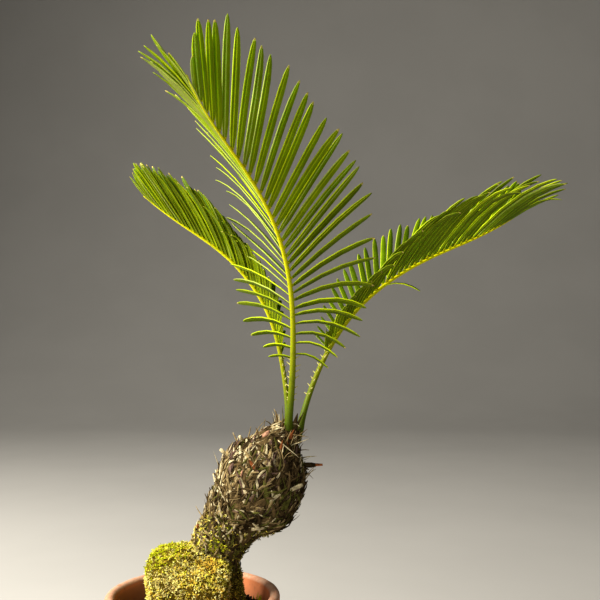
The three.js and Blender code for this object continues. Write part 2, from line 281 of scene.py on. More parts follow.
RightFrond = frond_settings(
    "RightFrond", (92, 12, 276), 318, 3.0, (18, 35, 57, 69, 61), (43, 31, 24, 23, 25), 28, 0.25,
    (0.22, 0.99), 36, 0.84,
    (
        1,
        (0, 0, 0.2, 0.5),
        (33, 27, 40, 47.5, 55.5, 52, 44),
        (75, 68, 62, 29),
        (40, 66, 106, 121, 120, 111, 46),
        (0.5, 0.3, 0.28, 0.24),
        (20, 15, 15, 15, 15),
    ),
    (
        -1,
        (1.2, 1.4),
        (65.7, 57, 45.3, 37, 33, 30, 26),
        (39, 42, 41),
        (21, 44, 64, 70, 80, 90, 40),
        (0, 0.064, 0.15),
        (14, 14, 14, 14, 14),
    ),
    (12, 8, 42, 0.55),
)


class StageSettings(bpy.types.PropertyGroup):
    """Camera, floor and lights."""

    camera: FloatVectorProperty(
        name="Camera",
        description="Place of the camera",
        default=(0.0922, -0.8, 0.3873),
        subtype="TRANSLATION",
    )
    lens: amount("Lens", "Focal length in mm on a 36 mm frame", 55.8)
    floor: colour("Floor", "Pale studio floor", (0.48, 0.475, 0.465))
    light: colour("Light", "Warm window light", (1.0, 0.94, 0.82))
    key: amount("Key light", "Window-like light from the left, in watts", 80.0)
    fill: amount("Fill light", "Weak light from the front, in watts", 12.0)
    rim: amount("Rim light", "Weak light from behind, in watts", 0.4)
    ambient: amount("Ambient", "Strength of the surrounding light", 0.07)
    surround: colour("Surround", "Colour of the surrounding light", (1.0, 0.95, 0.86))


class SagoSettings(bpy.types.PropertyGroup):
    """All settings of the potted palm."""

    pot: group("Pot", PotSettings)
    ground: group("Ground", GroundSettings)
    trunk: group("Trunk", TrunkSettings)
    leaf: group("Leaf", LeafSettings)
    frond_front: group("Frond front", FrontFrond)
    frond_left: group("Frond left", LeftFrond)
    frond_right: group("Frond right", RightFrond)
    stage: group("Stage", StageSettings)


# Shader expressions


class Wire:
    """A shader socket that can be used in sums like a number."""

    def __init__(self, graph, socket):
        self.graph = graph
        self.socket = socket

    def math(self, operation, other, swapped=False):
        pair = (other, self) if swapped else (self, other)
        return self.graph.node("ShaderNodeMath", {0: pair[0], 1: pair[1]}, {"operation": operation})

    def __add__(self, other):
        return self.math("ADD", other)

    def __sub__(self, other):
        return self.math("SUBTRACT", other)

    def __mul__(self, other):
        return self.math("MULTIPLY", other)

    def __rsub__(self, other):
        return self.math("SUBTRACT", other, swapped=True)

    __radd__ = __add__
    __rmul__ = __mul__


class Graph:
    """The node tree of one material around a Principled shader."""

    def __init__(self, name, **constants):
        self.material = bpy.data.materials.new(name)
        self.material.use_nodes = True
        self.tree = self.material.node_tree
        self.tree.nodes.clear()
        self.shader = self.tree.nodes.new("ShaderNodeBsdfPrincipled")
        output = self.tree.nodes.new("ShaderNodeOutputMaterial")
        self.tree.links.new(self.shader.outputs[0], output.inputs[0])
        for socket, value in constants.items():
            self.shader.inputs[socket.replace("_", " ")].default_value = value

    def node(self, kind, inputs, settings=None, out=0):
        made = self.tree.nodes.new(kind)
        for key, value in (settings or {}).items():
            if key == "stops":
                self.set_stops(made.color_ramp, value)
            else:
                setattr(made, key, value)
        for key, value in inputs.items():
            self.feed(made.inputs[key], value)
        return Wire(self, made.outputs[out])

    def feed(self, socket, value):
        if isinstance(value, Wire):
            self.tree.links.new(value.socket, socket)
        else:
            socket.default_value = value

    def set_stops(self, ramp, stops):
        while len(ramp.elements) < len(stops):
            ramp.elements.new(1.0)
        for element, (place, tint) in zip(ramp.elements, stops):
            element.position = place
            element.color = (*tint, 1.0)

    def set(self, socket, value):
        self.feed(self.shader.inputs[socket], value)

    def place(self):
        """Object coordinates."""
        return self.node("ShaderNodeTexCoord", {}, out=3)

    def parts(self, vector):
        return [self.node("ShaderNodeSeparateXYZ", {0: vector}, out=k) for k in range(3)]

    def noise(self, scale, detail):
        inputs = {"Vector": self.place(), "Scale": scale, "Detail": detail, "Roughness": 0.55}
        return self.node("ShaderNodeTexNoise", inputs)

    def between(self, value, low, high):
        """0 where the value is under low, 1 where it is over high, smooth between."""
        inputs = {"Value": value, "From Min": low, "From Max": high}
        return self.node("ShaderNodeMapRange", inputs, {"interpolation_type": "SMOOTHSTEP"})

    def mix(self, share, first, second):
        inputs = {0: share, 6: rgba(first), 7: rgba(second)}
        return self.node("ShaderNodeMix", inputs, {"data_type": "RGBA"}, out=2)

    def bump(self, height, strength, distance):
        inputs = {"Height": height, "Strength": strength, "Distance": distance}
        self.set("Normal", self.node("ShaderNodeBump", inputs))


def rgba(value):
    """A colour with its alpha, or the wire that carries it."""
    return value if isinstance(value, Wire) else (*value[:3], 1.0)


def tinted(value, factor):
    """A colour made lighter or darker."""
    return tuple(min(1.0, channel * factor) for channel in value)


def speckled(name, base, low=0.72, high=1.25, scale=300.0, roughness=0.85, bump=0.0):
    """A plain dull colour with fine lighter and darker flecks, and a grain if bump is given."""
    graph = Graph(name, Roughness=roughness, Specular_IOR_Level=0.0)
    grain = graph.noise(scale, detail=3.0)
    flecks = graph.between(grain, 0.35, 0.65)
    graph.set("Base Color", graph.mix(flecks, tinted(base, low), tinted(base, high)))
    if bump:
        graph.bump(grain, bump, 1.0 * MM)
    return graph.material


# Squares of the radii, in square metres, between which the inside of the pot gives way to its rim
INSIDE_EDGE = (0.0041, 0.0046)
LEAF_GLOW = {"Subsurface_Weight": 0.1, "Subsurface_Scale": 0.004}


def clay_material(settings):
    """Fired clay: mottled, with a salt bloom on the rim, damp stains by the soil and fine grit."""
    graph = Graph("fired_clay", Roughness=0.88, Specular_IOR_Level=0.15)
    across, depth, height = graph.parts(graph.place())
    cloud = graph.noise(38.0, detail=5.0)
    fine = graph.noise(260.0, detail=4.0)
    grit = graph.noise(1400.0, detail=2.0)
    mottle = graph.between(cloud, 0.38, 0.62)
    base = graph.mix(mottle, tinted(settings.clay, 0.86), tinted(settings.clay, 1.14))
    base = graph.mix(graph.between(fine, 0.56, 0.75) * 0.55, base, settings.stain)
    rim = graph.between(height, POT_HIGH.z - 4 * MM, POT_HIGH.z - 1.2 * MM)
    worn = graph.between(fine + cloud * 0.6, 0.62, 0.95)
    base = graph.mix(rim * (0.4 + worn * 0.5), base, settings.bloom)
    patches = graph.between(graph.noise(22.0, detail=6.0), 0.56, 0.7)
    base = graph.mix(patches * 0.25, base, settings.bloom)
    # Painted shade: the inner wall under the rim on the left, which the light does not reach, is darkened
    # with the stain colour.
    inside = 1 - graph.between(across * across + depth * depth, *INSIDE_EDGE)
    below = 1 - graph.between(height, POT_HIGH.z - 7 * MM, POT_HIGH.z - 4 * MM)
    leftward = graph.between(0 - across, -10 * MM, 40 * MM)
    base = graph.mix(inside * below * leftward * 0.85, base, settings.stain)
    damp = 1 - graph.between(height, SOIL_TOP - 1 * MM, SOIL_TOP + 9 * MM)
    near_soil = damp * graph.between(height, SOIL_TOP - 20 * MM, SOIL_TOP - 2 * MM)
    base = graph.mix(near_soil * 0.45, base, settings.stain)
    graph.set("Base Color", base)
    graph.set("Roughness", 0.8 + fine * 0.18)
    graph.bump(grit * 0.5 + fine * 0.8 + cloud * 0.4, 0.35, 0.6 * MM)
    return graph.material


def leaf_material(name, base, roughness):
    """A satin leaf surface, a little uneven in colour and gloss."""
    glow = {**LEAF_GLOW, "Subsurface_Radius": (0.5, 1.0, 0.15)}
    graph = Graph(name, Roughness=roughness, Specular_IOR_Level=0.06, **glow)
    cloud = graph.noise(45.0, detail=3.0)
    fibre = graph.noise(520.0, detail=2.0)
    shade = graph.mix(graph.between(cloud, 0.35, 0.65), tinted(base, 0.86), tinted(base, 1.12))
    shade = graph.mix(graph.between(fibre, 0.5, 0.75) * 0.35, shade, tinted(base, 0.8))
    graph.set("Base Color", shade)
    graph.set("Roughness", roughness - 0.06 + fibre * 0.14)
    graph.bump(fibre, 0.12, 0.4 * MM)
    return graph.material


def rib_material(settings):
    """Green at the foot of the stalk, yellow along the rib, with fine lengthwise flecks."""
    graph = Graph("rib_skin", Roughness=0.42, Specular_IOR_Level=0.08, **LEAF_GLOW)
    along = graph.node("ShaderNodeAttribute", {}, {"attribute_name": "along"}, out=2)
    stalk, rib = settings.stalk, settings.rib
    middle = tuple((a + b) / 2 for a, b in zip(stalk, rib))
    stops = [(0.0, tinted(stalk, 0.6)), (0.06, stalk), (0.3, middle), (0.5, rib), (1.0, tinted(rib, 1.1))]
    base = graph.node("ShaderNodeValToRGB", {0: along}, {"stops": stops})
    fleck = graph.noise(240.0, detail=4.0)
    base = graph.mix(graph.between(fleck, 0.52, 0.72) * 0.4, base, tinted(stalk, 0.7))
    graph.set("Base Color", base)
    graph.set("Roughness", 0.34 + fleck * 0.2)
    graph.bump(fleck, 0.15, 0.4 * MM)
    return graph.material


def bark_material(settings):
    """The dark fibrous body under the leaf bases."""
    graph = Graph("trunk_fibre", Roughness=0.95, Specular_IOR_Level=0.0)
    coarse = graph.noise(120.0, detail=6.0)
    fine = graph.noise(700.0, detail=4.0)
    base = graph.mix(graph.between(coarse, 0.4, 0.62), settings.core, settings.umber)
    base = graph.mix(graph.between(fine, 0.58, 0.75) * 0.5, base, settings.straw)
    graph.set("Base Color", base)
    graph.bump(coarse + fine * 0.5, 0.8, 1.5 * MM)
    return graph.material


def soil_material(settings):
    """Dark crumbly soil."""
    graph = Graph("potting_soil", Roughness=0.96, Specular_IOR_Level=0.08)
    crumb = graph.noise(240.0, detail=6.0)
    fine = graph.noise(1100.0, detail=3.0)
    lumps = graph.between(crumb, 0.38, 0.64)
    base = graph.mix(lumps, tinted(settings.soil, 0.5), tinted(settings.soil, 1.7))
    base = graph.mix(graph.between(fine, 0.66, 0.78), base, settings.grit)
    graph.set("Base Color", base)
    graph.bump(crumb + fine * 0.4, 0.9, 1.5 * MM)
    return graph.material


# Shape helpers


def through(values, t):
    """A smooth value through evenly spaced stations."""
    v = np.asarray(list(values), float)
    last = len(v) - 1
    padded = np.concatenate([[2 * v[0] - v[1]], v, [2 * v[-1] - v[-2]]])
    x = np.clip(np.asarray(t, float), 0.0, 1.0) * last
    i = np.minimum(x.astype(int), last - 1)
    f = x - i
    a, b, c, d = (padded[i + k] for k in range(4))
    return 0.5 * (2 * b + (c - a) * f + (2 * a - 5 * b + 4 * c - d) * f**2 + (3 * b - a - 3 * c + d) * f**3)


def unit(vectors):
    return vectors / np.linalg.norm(vectors, axis=-1, keepdims=True)


def dot(a, b):
    return np.sum(a * b, axis=-1, keepdims=True)


def lofts(rings):
    """Places and faces of closed lofts. rings has the axes loft, section, corner and xyz, and the corners
    turn about the way forward."""
    pieces, sections, corners = rings.shape[:3]
    j = np.arange(corners)
    ring = np.stack([j, np.roll(j, -1), np.roll(j, -1) + corners, j + corners], axis=-1)
    walls = (ring[None] + (np.arange(sections - 1) * corners)[:, None, None]).reshape(-1, 4)
    starts = np.arange(pieces) * sections * corners
    faces = (walls[None] + starts[:, None, None]).reshape(-1, 4).tolist()
    ends = [j[::-1], j + (sections - 1) * corners]
    caps = [(end + start).tolist() for start in starts for end in ends]
    return rings.reshape(-1, 3), faces + caps


def loft_slots(wall_slots, cap_slots):
    """Material slots for lofts(), given by loft, wall and corner, and for the caps by loft."""
    return np.concatenate([wall_slots.reshape(-1), np.repeat(cap_slots, 2)])


def plain_slots(rings, tones):
    """Material slots for lofts that have one tone each."""
    sections, corners = rings.shape[1:3]
    return loft_slots(np.repeat(tones, (sections - 1) * corners), tones)


def oval(angles):
    return np.stack([np.cos(angles), np.sin(angles)], axis=-1)


def placed(name, data):
    """A new object in the scene."""
    made = bpy.data.objects.new(name, data)
    bpy.context.scene.collection.objects.link(made)
    return made


def new_piece(name, mesh, materials, slot, *replaced):
    """Puts a finished mesh in the scene as a piece of the plant."""
    for material in materials:
        mesh.materials.append(material)
    piece = placed(name, mesh)
    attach(piece, "root")
    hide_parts(*replaced)
    return piece


def array_mesh(name, places, faces, slots=None, smooth=True):
    """A mesh from arrays, for many small things joined together."""
    mesh = bpy.data.meshes.new(name)
    mesh.from_pydata(np.asarray(places).tolist(), [], faces)
    if slots is not None:
        mesh.polygons.foreach_set("material_index", np.asarray(slots, np.int32))
    mesh.polygons.foreach_set("use_smooth", np.full(len(mesh.polygons), smooth))
    mesh.update()
    return mesh


def loft_piece(name, rings, materials, slot, *replaced, slots=None, smooth=True):
    """Puts lofts in the scene as one piece of the plant."""
    places, faces = lofts(rings)
    return new_piece(name, array_mesh(name, places, faces, slots, smooth), materials, slot, *replaced)


def bmesh_mesh(name, bm):
    """A smooth mesh from a finished bmesh, with its faces turned outwards."""
    bmesh.ops.remove_doubles(bm, verts=bm.verts, dist=1e-6)
    bmesh.ops.recalc_face_normals(bm, faces=bm.faces)
    mesh = bpy.data.meshes.new(name)
    bm.to_mesh(mesh)
    bm.free()
    mesh.polygons.foreach_set("use_smooth", np.full(len(mesh.polygons), True))
    return mesh


def turned(profile):
    """A bmesh turned round the upright axis from (radius, height) points that start and end on the axis."""
    bm = bmesh.new()
    verts = [bm.verts.new((radius, 0.0, height)) for radius, height in profile]
    edges = [bm.edges.new(pair) for pair in zip(verts, verts[1:])]
    bmesh.ops.spin(
        bm,
        geom=verts + edges,
        axis=(0, 0, 1),
        cent=(0, 0, 0),
        angle=2 * math.pi,
        steps=ROUND_STEPS,
        use_merge=True,
    )
    bmesh.ops.remove_doubles(bm, verts=bm.verts, dist=1e-6)
    return bm


def dense(profile, spacing):
    """The same outline with points at least every spacing."""
    filled = [profile[0]]
    for start, end in zip(profile, profile[1:]):
        count = max(1, math.ceil(math.dist(start, end) / spacing))
        for k in range(1, count + 1):
            share = k / count
            filled.append(tuple(a + (b - a) * share for a, b in zip(start, end)))
    return filled


def rough(place, scale, octaves=3):
    """Fractal noise at a place, about -1 to 1."""
    return noise.fractal(Vector(place) * scale, 1.0, 2.0, octaves)


def scatter(mesh, count, rng):
    """Points spread evenly over a mesh, and the normals there. Its triangles are first put in order."""
    mesh.calc_loop_triangles()
    corners = np.empty(len(mesh.loop_triangles) * 3, np.int32)
    mesh.loop_triangles.foreach_get("vertices", corners)
    corners = corners.reshape(-1, 3)
    corners = np.stack([np.roll(row, -row.argmin()) for row in corners])
    corners = corners[np.lexsort(corners.T[::-1])]
    places = np.empty(len(mesh.vertices) * 3, np.float32)
    mesh.vertices.foreach_get("co", places)
    triangles = places.reshape(-1, 3)[corners].astype(float)
    cross = np.cross(triangles[:, 1] - triangles[:, 0], triangles[:, 2] - triangles[:, 0])
    area = np.linalg.norm(cross, axis=1)
    chosen = rng.choice(len(area), count, p=area / area.sum())
    u, v = np.sqrt(rng.random((count, 1))), rng.random((count, 1))
    a, b, c = (triangles[chosen, k] for k in range(3))
    return a * (1 - u) + b * u * (1 - v) + c * u * v, unit(cross[chosen])


def blades(feet, ways, ups, lengths, widths, thicknesses, curls, shares, corners, sweeps=0.0):
    """Rings of tapering blades. shares gives the width along a blade, curls how far its tip bends to its
    upper side and sweeps how far it bends sideways."""
    t = np.linspace(0.0, 1.0, len(shares))[None, :, None]
    ups = unit(ups - dot(ups, ways) * ways)
    bend = curls[:, None] * ups + np.reshape(sweeps, (-1, 1)) * np.cross(ups, ways)
    course = feet[:, None] + lengths[:, None, None] * (t * ways[:, None] + t**2 * bend[:, None])
    forward = unit(ways[:, None] + 2 * t * bend[:, None])
    upper = unit(ups[:, None] - dot(ups[:, None], forward) * forward)
    across = np.cross(upper, forward)
    ring = oval(2 * np.pi * np.arange(corners) / corners)
    half_width = (widths[:, None] * np.asarray(shares)[None] / 2)[:, :, None, None]
    half_thick = (thicknesses[:, None] * np.maximum(np.asarray(shares), 0.35)[None] / 2)[:, :, None, None]
    wide = half_width * ring[None, None, :, :1] * across[:, :, None]
    thick = half_thick * ring[None, None, :, 1:] * upper[:, :, None]
    return course[:, :, None] + wide + thick


# Pot


# Steps round the pot and the soil, and over the rim
ROUND_STEPS = 120
RIM_STEPS = 12
DRAINS = 3
DRILL_LENGTH = 60 * MM


def inner_radius(settings, height):
    """Radius of the pot's inside at a height."""
    low = settings.foot_radius - settings.wall + 2 * MM
    high = POT_HIGH.x - settings.wall
    return low + (high - low) * (height - settings.floor) / (POT_HIGH.z - settings.floor)


def pot_profile(settings):
    """The pot's outline from the middle of its underside, up outside, over the rim and down inside."""
    radius, top = POT_HIGH.x, POT_HIGH.z
    collar_foot = top - settings.collar
    half_wall, round_height = settings.wall / 2, 4 * MM
    rim = []
    for k in range(RIM_STEPS + 1):
        angle = math.pi * k / RIM_STEPS
        across = radius - half_wall + half_wall * math.cos(angle)
        rim.append((across, top - round_height + round_height * math.sin(angle)))
    return [
        (0.0, 0.0),
        (settings.foot_radius - 2 * MM, 0.0),
        (settings.foot_radius - 0.6 * MM, 0.6 * MM),
        (settings.foot_radius, 2 * MM),
        (radius - settings.step - 1 * MM, collar_foot - 2 * MM),
        (radius - settings.step + 0.6 * MM, collar_foot - 1.2 * MM),
        (radius - 2.2 * MM, collar_foot - 0.4 * MM),
        (radius - 1.5 * MM, collar_foot + 1.2 * MM),
        *rim,
        (inner_radius(settings, settings.floor + 5 * MM), settings.floor + 5 * MM),
        (inner_radius(settings, settings.floor) - 4 * MM, settings.floor),
        (0.0, settings.floor),
    ]


def cut_drains(piece, settings):
    """Cuts the drain holes through the pot's floor."""
    bm = bmesh.new()
    radius, ring = settings.drain_radius, settings.drain_ring
    for k in range(DRAINS):
        angle = math.radians(90 + 360 / DRAINS * k)
        made = bmesh.ops.create_cone(
            bm, cap_ends=True, segments=32, radius1=radius, radius2=radius, depth=DRILL_LENGTH
        )
        place = (ring * math.cos(angle), ring * math.sin(angle), settings.floor / 2)
        bmesh.ops.translate(bm, verts=made["verts"], vec=place)
    cutter = placed("drain_cutter", bmesh_mesh("drain_cutter", bm))
    modifier = piece.modifiers.new("drains", "BOOLEAN")
    modifier.operation = "DIFFERENCE"
    modifier.object = cutter
    bpy.context.view_layer.update()
    cut = bpy.data.meshes.new_from_object(piece.evaluated_get(bpy.context.evaluated_depsgraph_get()))
    piece.modifiers.clear()
    piece.data = cut
    bpy.data.objects.remove(cutter)


class SAGO_OT_pot(bpy.types.Operator):
    """Turn the clay pot, roughen it by hand and cut its drain holes"""

    bl_idname = "sago.pot"
    bl_label = "Clay Pot"

    def execute(self, context):
        settings = context.scene.sago_palm.pot
        bm = turned(dense(pot_profile(settings), 4 * MM))
        bmesh.ops.recalc_face_normals(bm, faces=bm.faces)
        bm.normal_update()
        for vert in bm.verts:
            if vert.co.z > 3 * MM:
                vert.co += vert.normal * (0.35 * MM * rough(vert.co, 28) + 0.12 * MM * rough(vert.co, 160))
        mesh = bmesh_mesh("clay_pot", bm)
        piece = new_piece("clay_pot", mesh, [clay_material(settings)], "clay", "pot")
        cut_drains(piece, settings)
        return {"FINISHED"}


# Soil


class SAGO_OT_soil(bpy.types.Operator):
    """Fill the pot with soil, strew crumbs on it and plant a green sprig"""

    bl_idname = "sago.soil"
    bl_label = "Soil"

    def execute(self, context):
        sago = context.scene.sago_palm
        self.strew(sago, self.fill(sago))
        self.sprig(sago.ground)
        return {"FINISHED"}

    def fill(self, sago):
        """The body of soil, with an uneven top."""
        pot = sago.pot
        edge = SOIL_TOP - 1.5 * MM
        outline = [
            (0.0, pot.floor + 0.3 * MM),
            (inner_radius(pot, pot.floor) - 5 * MM, pot.floor + 0.3 * MM),
            (inner_radius(pot, pot.floor + 5 * MM) - 0.9 * MM, pot.floor + 5 * MM),
            (inner_radius(pot, edge) - 0.9 * MM, edge - 1.5 * MM),
            (inner_radius(pot, edge) - 2.5 * MM, SOIL_TOP - 0.8 * MM),
            (0.0, SOIL_TOP - 0.3 * MM),
        ]
        bm = turned(dense(outline, 2.2 * MM))
        for vert in bm.verts:
            if vert.co.z > edge - 1 * MM:
                vert.co.z += 1.1 * MM * rough(vert.co, 60) + 0.7 * MM * rough(vert.co, 210)
        mesh = bmesh_mesh("soil_fill", bm)
        new_piece("soil_fill", mesh, [soil_material(sago.ground)], "earth", "soil")
        return mesh

    def strew(self, sago, surface):
        """Crumbs over the soil and in a small heap against the trunk's foot."""
        rng = np.random.default_rng(SEEDS["crumbs"])
        ground = sago.ground
        places, normals = scatter(surface, ground.crumbs * 3, rng)
        outer = inner_radius(sago.pot, SOIL_TOP) - 3 * MM
        keep = (normals[:, 2] > 0.5) & (places[:, 2] > SOIL_TOP - 5 * MM)
        keep &= np.hypot(places[:, 0], places[:, 1]) < outer
        heap = np.array(ground.pile_place) + 4.5 * MM * rng.standard_normal((ground.pile, 3))
        gap = np.linalg.norm(heap - np.array(ground.pile_place), axis=1) / (9 * MM)
        heap[:, 2] = SOIL_TOP + ground.pile_height * np.exp(-(gap**2)) * rng.random(ground.pile)
        places = np.vstack([places[keep][: ground.crumbs], heap])
        bm = bmesh.new()
        bmesh.ops.create_icosphere(bm, subdivisions=1, radius=1.0)
        ball = np.array([vert.co[:] for vert in bm.verts])
        ball_faces = np.array([[vert.index for vert in face.verts] for face in bm.faces])
        bm.free()
        count = len(places)
        sizes = (0.6 + 2.2 * rng.random(count) ** 4) * MM
        sizes[-ground.pile :] += 1.2 * MM
        stretch = 0.6 + 0.8 * rng.random((count, 1, 3))
        lumps = ball[None] * stretch * (1 + 0.22 * rng.standard_normal((count, len(ball), 1)))
        turns = unit(rng.standard_normal((count, 3, 3)))
        turns[np.linalg.det(turns) < 0] *= -1
        shapes = np.einsum("nvk,nkj->nvj", lumps, turns) * sizes[:, None, None]
        verts = (shapes + places[:, None]).reshape(-1, 3)
        faces = (ball_faces[None] + (np.arange(count) * len(ball))[:, None, None]).reshape(-1, 3)
        slots = np.repeat(rng.choice(3, count, p=[0.62, 0.28, 0.1]), len(ball_faces))
        tints = {"dark": tinted(ground.soil, 0.8), "brown": ground.brown_crumb, "pale": ground.pale_crumb}
        materials = [speckled("crumb_" + tone, tint, bump=0.5) for tone, tint in tints.items()]
        mesh = array_mesh("soil_crumbs", verts, faces.tolist(), slots)
        new_piece("soil_crumbs", mesh, materials, "earth")

    def sprig(self, ground):
        """A tuft of small green blades on the soil."""
        rng = np.random.default_rng(SEEDS["sprig"])
        count = ground.sprig_blades
        foot = np.array(ground.sprig_place)
        foot[2] = SOIL_TOP - 1 * MM
        feet = foot + 1.2 * MM * rng.standard_normal((count, 3)) * (1, 1, 0)
        ways = unit(UP + 0.25 * rng.standard_normal((count, 3)))
        sideways = unit(np.cross(ways, rng.standard_normal((count, 3))))
        lengths = rng.normal(10, 2, count).clip(6, 13) * MM
        widths = np.full(count, 2.2 * MM)
        curls = 0.2 * rng.standard_normal(count)
        shares = (0.4, 0.8, 1.0, 0.7, 0.1)
        rings = blades(feet, ways, sideways, lengths, widths, 0.3 * widths, curls, shares, 6)
        skin = speckled("sprig_leaf", ground.lime, low=0.6, high=1.1, roughness=0.6)
        loft_piece("soil_sprig", rings, [skin], "moss")


# Course of the trunk


def trunk_axis(settings, t):
    """Centre, direction and two directions round the trunk at fractions of its axis."""
    t = np.asarray(t, float)

    def centre(at):
        x, z = through(settings.across, at) * MM, through(settings.height, at) * MM
        return np.stack([x, np.full_like(x, settings.depth), z], axis=-1)

    step = 1e-3
    along = unit(centre(np.minimum(t + step, 1.0)) - centre(np.maximum(t - step, 0.0)))
    back = np.broadcast_to(np.array((0.0, 1.0, 0.0)), along.shape)
    return centre(t), along, np.cross(back, along), back


def round_trunk(settings, t, angles):
    """Centre and direction of the trunk at fractions of its axis, and the way out at angles round it."""
    centre, along, side, back = trunk_axis(settings, t)
    return centre, along, side * np.cos(angles)[:, None] + back * np.sin(angles)[:, None]


def trunk_marks(settings, count):
    """Centres and radii at even steps along the trunk."""
    t = np.linspace(0.0, 1.0, count)
    return trunk_axis(settings, t)[0], through(settings.radius, t) * MM


def along_trunk(settings, low, high, count, rng):
    """Fractions of the trunk's axis, so that what grows there lies evenly on its skin."""
    t = np.linspace(low, high, 400)
    steps = np.linalg.norm(np.gradient(trunk_axis(settings, t)[0], axis=0), axis=1)
    share = np.cumsum(steps * through(settings.radius, t))
    share = (share - share[0]) / (share[-1] - share[0])
    return np.interp((np.arange(count) + rng.random(count)) / count, share, t)


def trunk_slope(settings, t):
    """How fast the trunk widens along its axis."""
    low, high = np.maximum(t - 0.01, 0.0), np.minimum(t + 0.01, 1.0)
    run = np.linalg.norm(trunk_axis(settings, high)[0] - trunk_axis(settings, low)[0], axis=1)
    return (through(settings.radius, high) - through(settings.radius, low)) * MM / run


def inside_trunk(settings, places):
    """Which places lie in the trunk."""
    centres, radii = trunk_marks(settings, 60)
    gaps = np.linalg.norm(places[:, None] - centres[None], axis=-1) - radii[None]
    return gaps.min(axis=1) < 0


def hugged(settings, rings, lifts):
    """Lofts laid on the trunk, so that none of them stands further out of it than its lift."""
    centres, radii = trunk_marks(settings, 120)
    middles = rings.mean(axis=2)
    gaps = np.linalg.norm(middles[:, :, None] - centres, axis=-1) - radii
    inward = unit(centres[gaps.argmin(axis=2)] - middles)
    over = np.maximum(0.0, gaps.min(axis=2) - lifts[:, None])
    return rings + (over[..., None] * inward)[:, :, None]


# Moss


# Shoots in a rosette
ROSETTE = 3
MOSS_TONES = ("lime", "yellow", "ochre", "straw", "olive")
# Places on the cushion with a colour of their own: across, height and radius in mm, and the tone
MOSS_SPOTS = ((-19, 157, 13, "straw"), (20, 171, 7, "ochre"), (-8, 171, 7, "olive"), (8, 176, 6, "straw"))


def inside_mound(ground, places):
    """Which places lie well inside the moss cushion."""
    x = (places[:, 0] - ground.moss_x) / ground.moss_half_width
    y = (places[:, 1] - ground.moss_y) / ground.moss_half_depth
    flat = (np.abs(x) ** ground.squareness + np.abs(y) ** ground.squareness) ** (1 / ground.squareness)
    fall = ground.moss_fall * np.maximum(0, x) + ground.moss_front * np.maximum(0, -y)
    return (flat < 0.85) & (places[:, 2] < MOSS_HIGH.z - 11 * MM - fall)


def moss_rosettes(places, ways, sizes, rng):
    """Rings of pointed curling shoots, a few in a rosette at each place."""
    places, ways, sizes = (np.repeat(row, ROSETTE, axis=0) for row in (places, ways, sizes))
    count = len(places)
    lean = unit(ways + 0.5 * rng.standard_normal((count, 3)))
    sideways = unit(np.cross(lean, rng.standard_normal((count, 3))))
    lengths = sizes * (0.6 + 0.6 * rng.random(count))
    widths = lengths * (0.32 + 0.2 * rng.random(count))
    curls = 0.45 * rng.standard_normal(count)
    return blades(places, lean, sideways, lengths, widths, 0.7 * widths, curls, (0.6, 1.0, 0.12), 3)


def shoot_slots(tones, rng):
    """Each shoot has its own colour at the tip and often a duller one at the foot."""
    ochre, olive = MOSS_TONES.index("ochre"), MOSS_TONES.index("olive")
    same = rng.random(len(tones)) < 0.4
    feet = np.where(same, tones, rng.choice([ochre, ochre, olive], len(tones)))
    walls = np.repeat(np.stack([feet, tones], axis=1), 3, axis=1)
    return loft_slots(walls, tones)


def moss_materials(ground):
    """One surface for each tone of moss."""
    return [
        speckled("moss_" + tone, getattr(ground, tone), low=0.82, high=1.4, scale=420.0, roughness=0.9)
        for tone in MOSS_TONES
    ]


